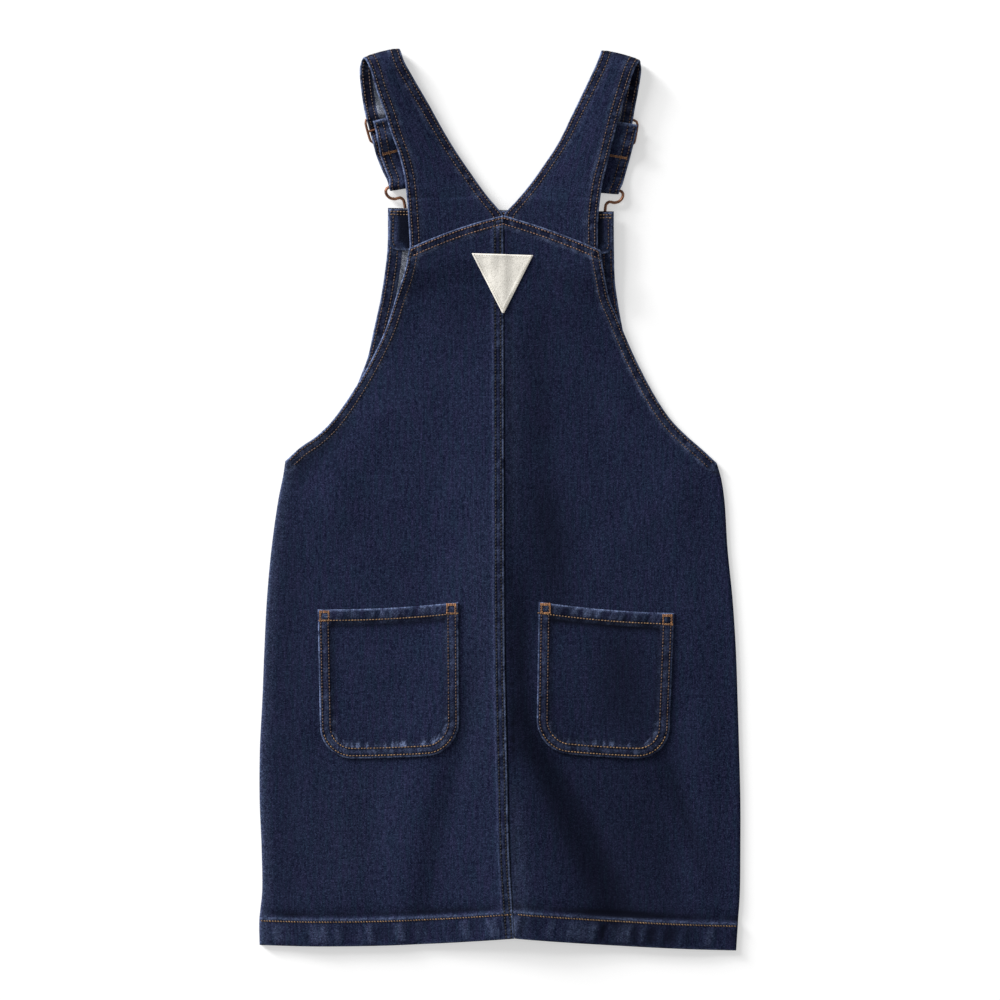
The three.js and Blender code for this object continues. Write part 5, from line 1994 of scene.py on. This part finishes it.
@dataclass
class Pocket(FlatPiece):
    """A patch pocket with a round-cornered bottom and a hemmed top."""

    side: Side
    finishes: Finishes
    corner: float = 25.0
    hem_depth: float = 9.0
    row_step: float = 2.5
    columns: int = 60
    top_bow: float = -1.8
    low_bow: float = -1.7
    wall: float = POCKET_WALL

    @property
    def rim(self) -> list[Points]:
        """The pocket's sewn outline in one line, and its top."""
        return [self.outline, self.top_line]

    def __post_init__(self) -> None:
        """Draws the grid of places and the outline."""
        top_left, top_right, low_left, low_right = (
            np.array(p, float) for p in POCKET_CORNERS[self.side]
        )
        height = top_left[1] - low_left[1]
        between = np.arange(18, height - 13, self.row_step)
        rises = np.concatenate([POCKET_LOW, between, height - np.array(POCKET_HIGH)])
        grid = []
        for rise in rises:
            t = rise / height
            left = low_left + (top_left - low_left) * t
            right = low_right + (top_right - low_right) * t
            short = max(0.0, self.corner - rise)
            inset = self.corner - math.sqrt(self.corner**2 - short**2)
            width = right[0] - left[0] - 2 * inset
            d = graded(width, EDGE_COLUMNS[:-1], self.columns)
            u = (inset + d) / (width + 2 * inset)
            bow = self.top_bow * smooth(height - 30, height, rise)
            bow = (bow + self.low_bow * (1 - smooth(0, 34, rise))) * 4 * u * (1 - u)
            grid.append(np.stack([left[0] + inset + d, left[1] + (right[1] - left[1]) * u + bow], 1))
        self.grid = np.array(grid)
        outline = np.concatenate([self.grid[::-1, 0], self.grid[0, 1:-1], self.grid[:, -1]])
        fine = lengths(outline)
        self.outline = resample(outline, fine, np.linspace(0, fine[-1], 260))
        self.top_line = self.grid[-1]
        seed = self.side.pick(800, 830)
        self.edge = SewnEdge(
            depth=9.2, rise=0.6, rows=(2.3, 8.2), pucker=0.17, seed=seed, haze=0.35,
            edge_wear=self.side.pick(0.95, 0.5), band_shade=0.0, row_shade=0.95,
        )
        self.hem = SewnEdge(
            depth=self.hem_depth, rise=0.6, rows=(8.8,), pucker=0.2, edge_wear=0.7, seed=seed + 9
        )

    def under(self, x: Points, y: Points) -> Points:
        """Height of the pocket's underside on the back."""
        sewn = reach(x, y, self.outline)[0]
        gap = SEWN_GAP + (REST_GAP - SEWN_GAP) * smooth(0.5, 9, sewn)
        return back_under(x, y) + PANEL_WALL + gap

    def relief(self, x: Points, y: Points) -> Relief:
        """What the pocket's rim, hem and corners do at places."""
        edge_distance, edge_along = reach(x, y, self.outline)
        hem_distance, hem_along = reach(x, y, self.top_line)
        rim = self.edge.relief(edge_distance, edge_along)
        hem = self.hem.relief(hem_distance, hem_along)
        # The rim's wear and its shadow end where the top hem covers them.
        near_hem = smooth(self.hem_depth, self.hem_depth + 3, hem_distance)
        rim.pale *= 0.35 + 0.65 * near_hem
        between = window(edge_distance, 3.2, 4.2, 6.2, 7.4) * near_hem
        worn = 0.6 + 0.4 * ripple(edge_along, 4.2, self.edge.seed + 5)
        rim.pale += self.side.pick(0.13, 0.07) * between * worn
        rim.shade += 0.32 * window(edge_distance, 9.2, 10.2, 11.4, 15.5) * near_hem
        whole = combined([rim, hem])
        seed = self.side.pick(860, 870)
        # Inside the rim the cloth swells softly, and the top hem is round and rubbed.
        fade = smooth(10, 26, edge_distance) * smooth(10, 24, hem_distance)
        whole.lift += 0.3 * fade * swell(x, y, 28, seed)
        whole.lift += 0.25 * line_at(hem_distance, 4.5, 3.2)
        ticks = np.clip(ripple(hem_along, 3.4, seed + 1), 0, 1)
        whole.pale += 0.3 * window(hem_distance, 0.6, 1.6, 6, 8) * ticks
        # A shadow lies along the hem's step.
        step = window(hem_distance, 9.6, 10.6, 12.5, 17) * smooth(8, 12, edge_distance)
        whole.shade += 0.7 * step
        whole.pale += self.corner_wear(y, edge_distance, edge_along)
        # Painted light on the drape's rises and painted shade in its hollows, as on the back.
        light, painted_shade = dye(x, y)
        whole.pale += light
        whole.shade += painted_shade
        return whole

    def corner_wear(self, y: Points, distance: Points, along: Points) -> Points:
        """Pale flecks where the bottom's seam allowance shows through."""
        height = y - min(corner[1] for corner in POCKET_CORNERS[self.side][2:])
        low = 1 - smooth(14, 44, height)
        ridge = window(distance, 8.2, 9.2, 10.4, 14.5)
        seed, amount = self.side.pick((880, 0.72), (890, 0.42))
        flecks = low * ridge * np.clip(1.6 * ripple(along, 1.7, seed) - 0.25, 0, 1)
        between = (1 - smooth(12, 34, height)) * window(distance, 3, 4.2, 6.6, 7.6)
        flecks += 0.6 * between * np.clip(1.7 * ripple(along, 2.3, seed + 3) - 0.7, 0, 1)
        return amount * flecks

    def build(self) -> None:
        """Makes the pocket and its stitches."""
        piece = self.shell(f"pocket_{self.side.value}_cloth")
        dress(piece, self.finishes.cloth, (f"pocket_{self.side.value}",))
        self.stitch()

    def stitch(self) -> None:
        """Sews the rim, the hem and the bars at the top corners."""
        x, y = self.grid[..., 0], self.grid[..., 1]
        inside = (x.mean(), y.mean() + self.corner)
        seed = self.side.pick(900, 950)
        rows, upright = [], []
        for k, depth in enumerate(self.edge.rows):
            line = offset(self.outline, depth, inside)[2:-2]
            low = np.flatnonzero(line[:, 1] < y.min() + 0.8 * self.corner)
            rows.append(row_on(self, line[low[0] : low[-1]], seed=seed + k, pitch=2.5))
            for run in (line[: low[0]], line[low[-1] :]):
                upright.append(row_on(self, run, seed=seed + 20 + k, pitch=2.5))
        name = f"pocket_side_stitches_{self.side.value}"
        sew(name, upright, self.finishes, Thread.BROWN)
        hem = (self.top_line, self.hem.rows, inside, slice(2, -2), seed + 5)
        rows += self.rows_along(*hem, pitch=2.4)
        name = f"pocket_stitches_{self.side.value}"
        sew(name, rows, self.finishes, Thread.GOLD)
        rows = []
        bar = {"seed": seed + 7, "pitch": 1.3, "length": 1.5, "width": 0.62, "slant": 0.35}
        for corner, way in ((self.top_line[0], 1), (self.top_line[-1], -1)):
            for x1, y1, x2, y2 in POCKET_BARS:
                ends = np.array([(x1 * way, y1), (x2 * way, y2)]) + corner
                rows.append(row_on(self, ends, **bar))
        sew(f"pocket_bars_{self.side.value}", rows, self.finishes, Thread.COPPER)


@dataclass
class Label(FlatPiece):
    """The bare triangular label over the centre seam."""

    finishes: Finishes
    wall: float = 0.6
    row_depth: float = 1.4

    def __post_init__(self) -> None:
        """Draws the grid of places."""
        left, right, tip = (np.array(p, float) for p in LABEL_CORNERS)
        levels = self.shares([0, 0.003, 0.01, 0.02], 0.04, 40, [0.98, 0.99, 0.997, 1])
        columns = self.shares([0, 0.006, 0.02, 0.04], 0.07, 34, [0.96, 0.98, 0.994, 1])
        grid = []
        for level in levels:
            a = tip + (left - tip) * level + np.array([-0.7 * (1 - level), 0])
            b = tip + (right - tip) * level + np.array([0.7 * (1 - level), 0])
            grid.append(a + (b - a) * columns[:, None])
        self.grid = np.array(grid)

    @staticmethod
    def shares(start: list[float], first: float, count: int, end: list[float]) -> Points:
        """Shares from 0 to 1: named ones at both ends, and even ones between."""
        return np.concatenate([start, np.linspace(first, 1 - first, count), end])

    def under(self, x: Points, y: Points) -> Points:
        """Height of the label's underside: it lies on the panels and bridges the seam."""
        seam = seam_x(y)
        over = FELL_RISE * window(x, seam - 18, seam - 7, seam - 1, seam + 8)
        return back_under(x, y) + PANEL_WALL + LABEL_GAP + over

    def wrong(self, x: Points, y: Points) -> Points:
        """Both sides of the label have the same finish."""
        return np.zeros_like(x)

    def relief(self, x: Points, y: Points) -> Relief:
        """Soft waves of the label and its turned edge."""
        edge = nearest(x, y, self.rim[1:])
        zero = np.zeros(np.shape(x))
        lift = 0.12 * swell(x, y, 9, 1000) * smooth(0, 5, edge)
        lift -= 0.1 * line_at(edge, self.row_depth, 0.4)
        # Painted shade along the row, at the turned edge and beside the seam's ridge under the
        # label.
        shade = 0.35 * line_at(edge, self.row_depth, 0.35) + 0.25 * (1 - smooth(0.1, 0.6, edge))
        shade += 0.06 * line_at(x, seam_x(y) + 2.5, 2.0)
        return Relief(zero + 0.15 * (1 - smooth(2.4, 3.4, edge)), lift, zero, shade)

    def build(self) -> None:
        """Makes the label and its stitches."""
        piece = self.shell("label_cloth")
        dress(piece, [self.finishes.label], ("label",))
        rows = []
        inside = (2.5, 183.0)
        sizes = {"pitch": 1.9, "length": 1.4, "width": 0.3}
        for line in self.rim[1:]:
            rows += self.rows_along(line, (self.row_depth,), inside, slice(2, -2), 1010, **sizes)
        sew("label_stitches", rows, self.finishes, Thread.CREAM)


@dataclass
class Hardware:
    """Sliders, buckles and buttons: the solids themselves, plated."""

    finishes: Finishes

    def build(self) -> None:
        """Plates each solid."""
        for side in Side:
            for kind in ("slider", "buckle", "button"):
                self.plate(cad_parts[f"{kind}_{side.value}"])

    def plate(self, node: Piece) -> None:
        """Gives a solid its plating, in its own material slots."""
        for slot in node.material_slots:
            slot.link = "OBJECT"
            slot.material = self.finishes.copper
        REPORT.info("%s plated in %d slots", node.name, len(node.material_slots))


@dataclass
class Studio:
    """A pale floor, soft light from the upper left, and the camera above the dress."""

    lens: float = 100.0
    sensor: float = 36.0
    field: float = 0.8
    subject_height: float = 0.005
    centre: tuple[float, float] = (0.0004, -0.0002)
    floor_dark: Colour = (0.65, 0.65, 0.65)
    floor_light: Colour = (0.67, 0.67, 0.67)
    glow: float = 0.4
    surroundings: float = 0.42

    def build(self) -> None:
        """Builds floor, lights, surroundings and camera."""
        self.floor()
        self.lights()
        self.camera()

    def floor(self) -> None:
        """Makes the pale floor."""
        bpy.ops.object.select_all(action="DESELECT")
        bpy.ops.mesh.primitive_plane_add(size=12)
        floor = bpy.context.object
        floor.name = "floor"
        material, nodes, principled = shader("pale_floor")
        place = nodes.add("ShaderNodeTexCoord")
        grain = nodes.noise(place.outputs["Object"], (3, 3, 3), 2)
        share = nodes.ranged(grain, 0.3, 0.7)
        colour = nodes.mixed(share, (*self.floor_dark, 1), (*self.floor_light, 1))
        nodes.join(colour, principled.inputs["Base Color"])
        nodes.set(principled, {"Emission Color": WHITE, "Emission Strength": self.glow})
        nodes.set(principled, {"Roughness": 0.9, "Specular IOR Level": 0.0})
        floor.data.materials.append(material)

    def lights(self) -> None:
        """Adds the key light, a low wide one under it, and pale surroundings."""
        self.lamp("key", place=(-12.2, 11.2, 6.2), power=3100.0, size=5.5)
        self.lamp("low", place=(-13.2, 10.8, 2.5), power=5600.0, size=4.4)
        world = bpy.data.worlds.new("studio")
        world.use_nodes = True
        background = world.node_tree.nodes["Background"]
        Nodes(world.node_tree).set(background, {"Color": WHITE, "Strength": self.surroundings})
        bpy.context.scene.world = world

    def lamp(
        self, name: str, place: tuple[float, float, float], power: float, size: float
    ) -> None:
        """Adds a square light that faces the dress.

        Args:
            name: Its name.
            place: Where it stands, in metres.
            power: Its power, in watts.
            size: Its side, in metres.
        """
        light = bpy.data.lights.new(name, "AREA")
        light.energy = power
        light.size = size
        lamp = bpy.data.objects.new(name, light)
        lamp.location = place
        bpy.context.scene.collection.objects.link(lamp)
        far = math.hypot(place[0], place[1])
        turn = math.atan2(place[1], place[0]) + math.pi / 2
        lamp.rotation_euler = (math.atan2(far, place[2]), 0, turn)

    def camera(self) -> None:
        """Adds the camera, straight above the dress, with the shoulders at the top."""
        data = bpy.data.cameras.new("camera")
        data.lens = self.lens
        data.sensor_width = self.sensor
        camera = bpy.data.objects.new("camera", data)
        far = self.field * self.lens / self.sensor
        camera.location = (self.centre[0], self.centre[1], far + self.subject_height)
        bpy.context.scene.collection.objects.link(camera)
        bpy.context.scene.camera = camera
        bpy.context.scene.view_settings.view_transform = "Standard"


def main() -> None:
    """Builds the dress piece by piece, then the studio."""
    logging.basicConfig(level=logging.INFO, format="%(name)s: %(message)s")
    finishes = Finishes()
    FrontPanel(finishes).build()
    Facing(finishes).build()
    for kind in (Strap, BackPanel, Pocket):
        for side in Side:
            kind(side, finishes).build()
    Label(finishes).build()
    Hardware(finishes).build()
    Studio().build()


if __name__ == "__main__":
    main()
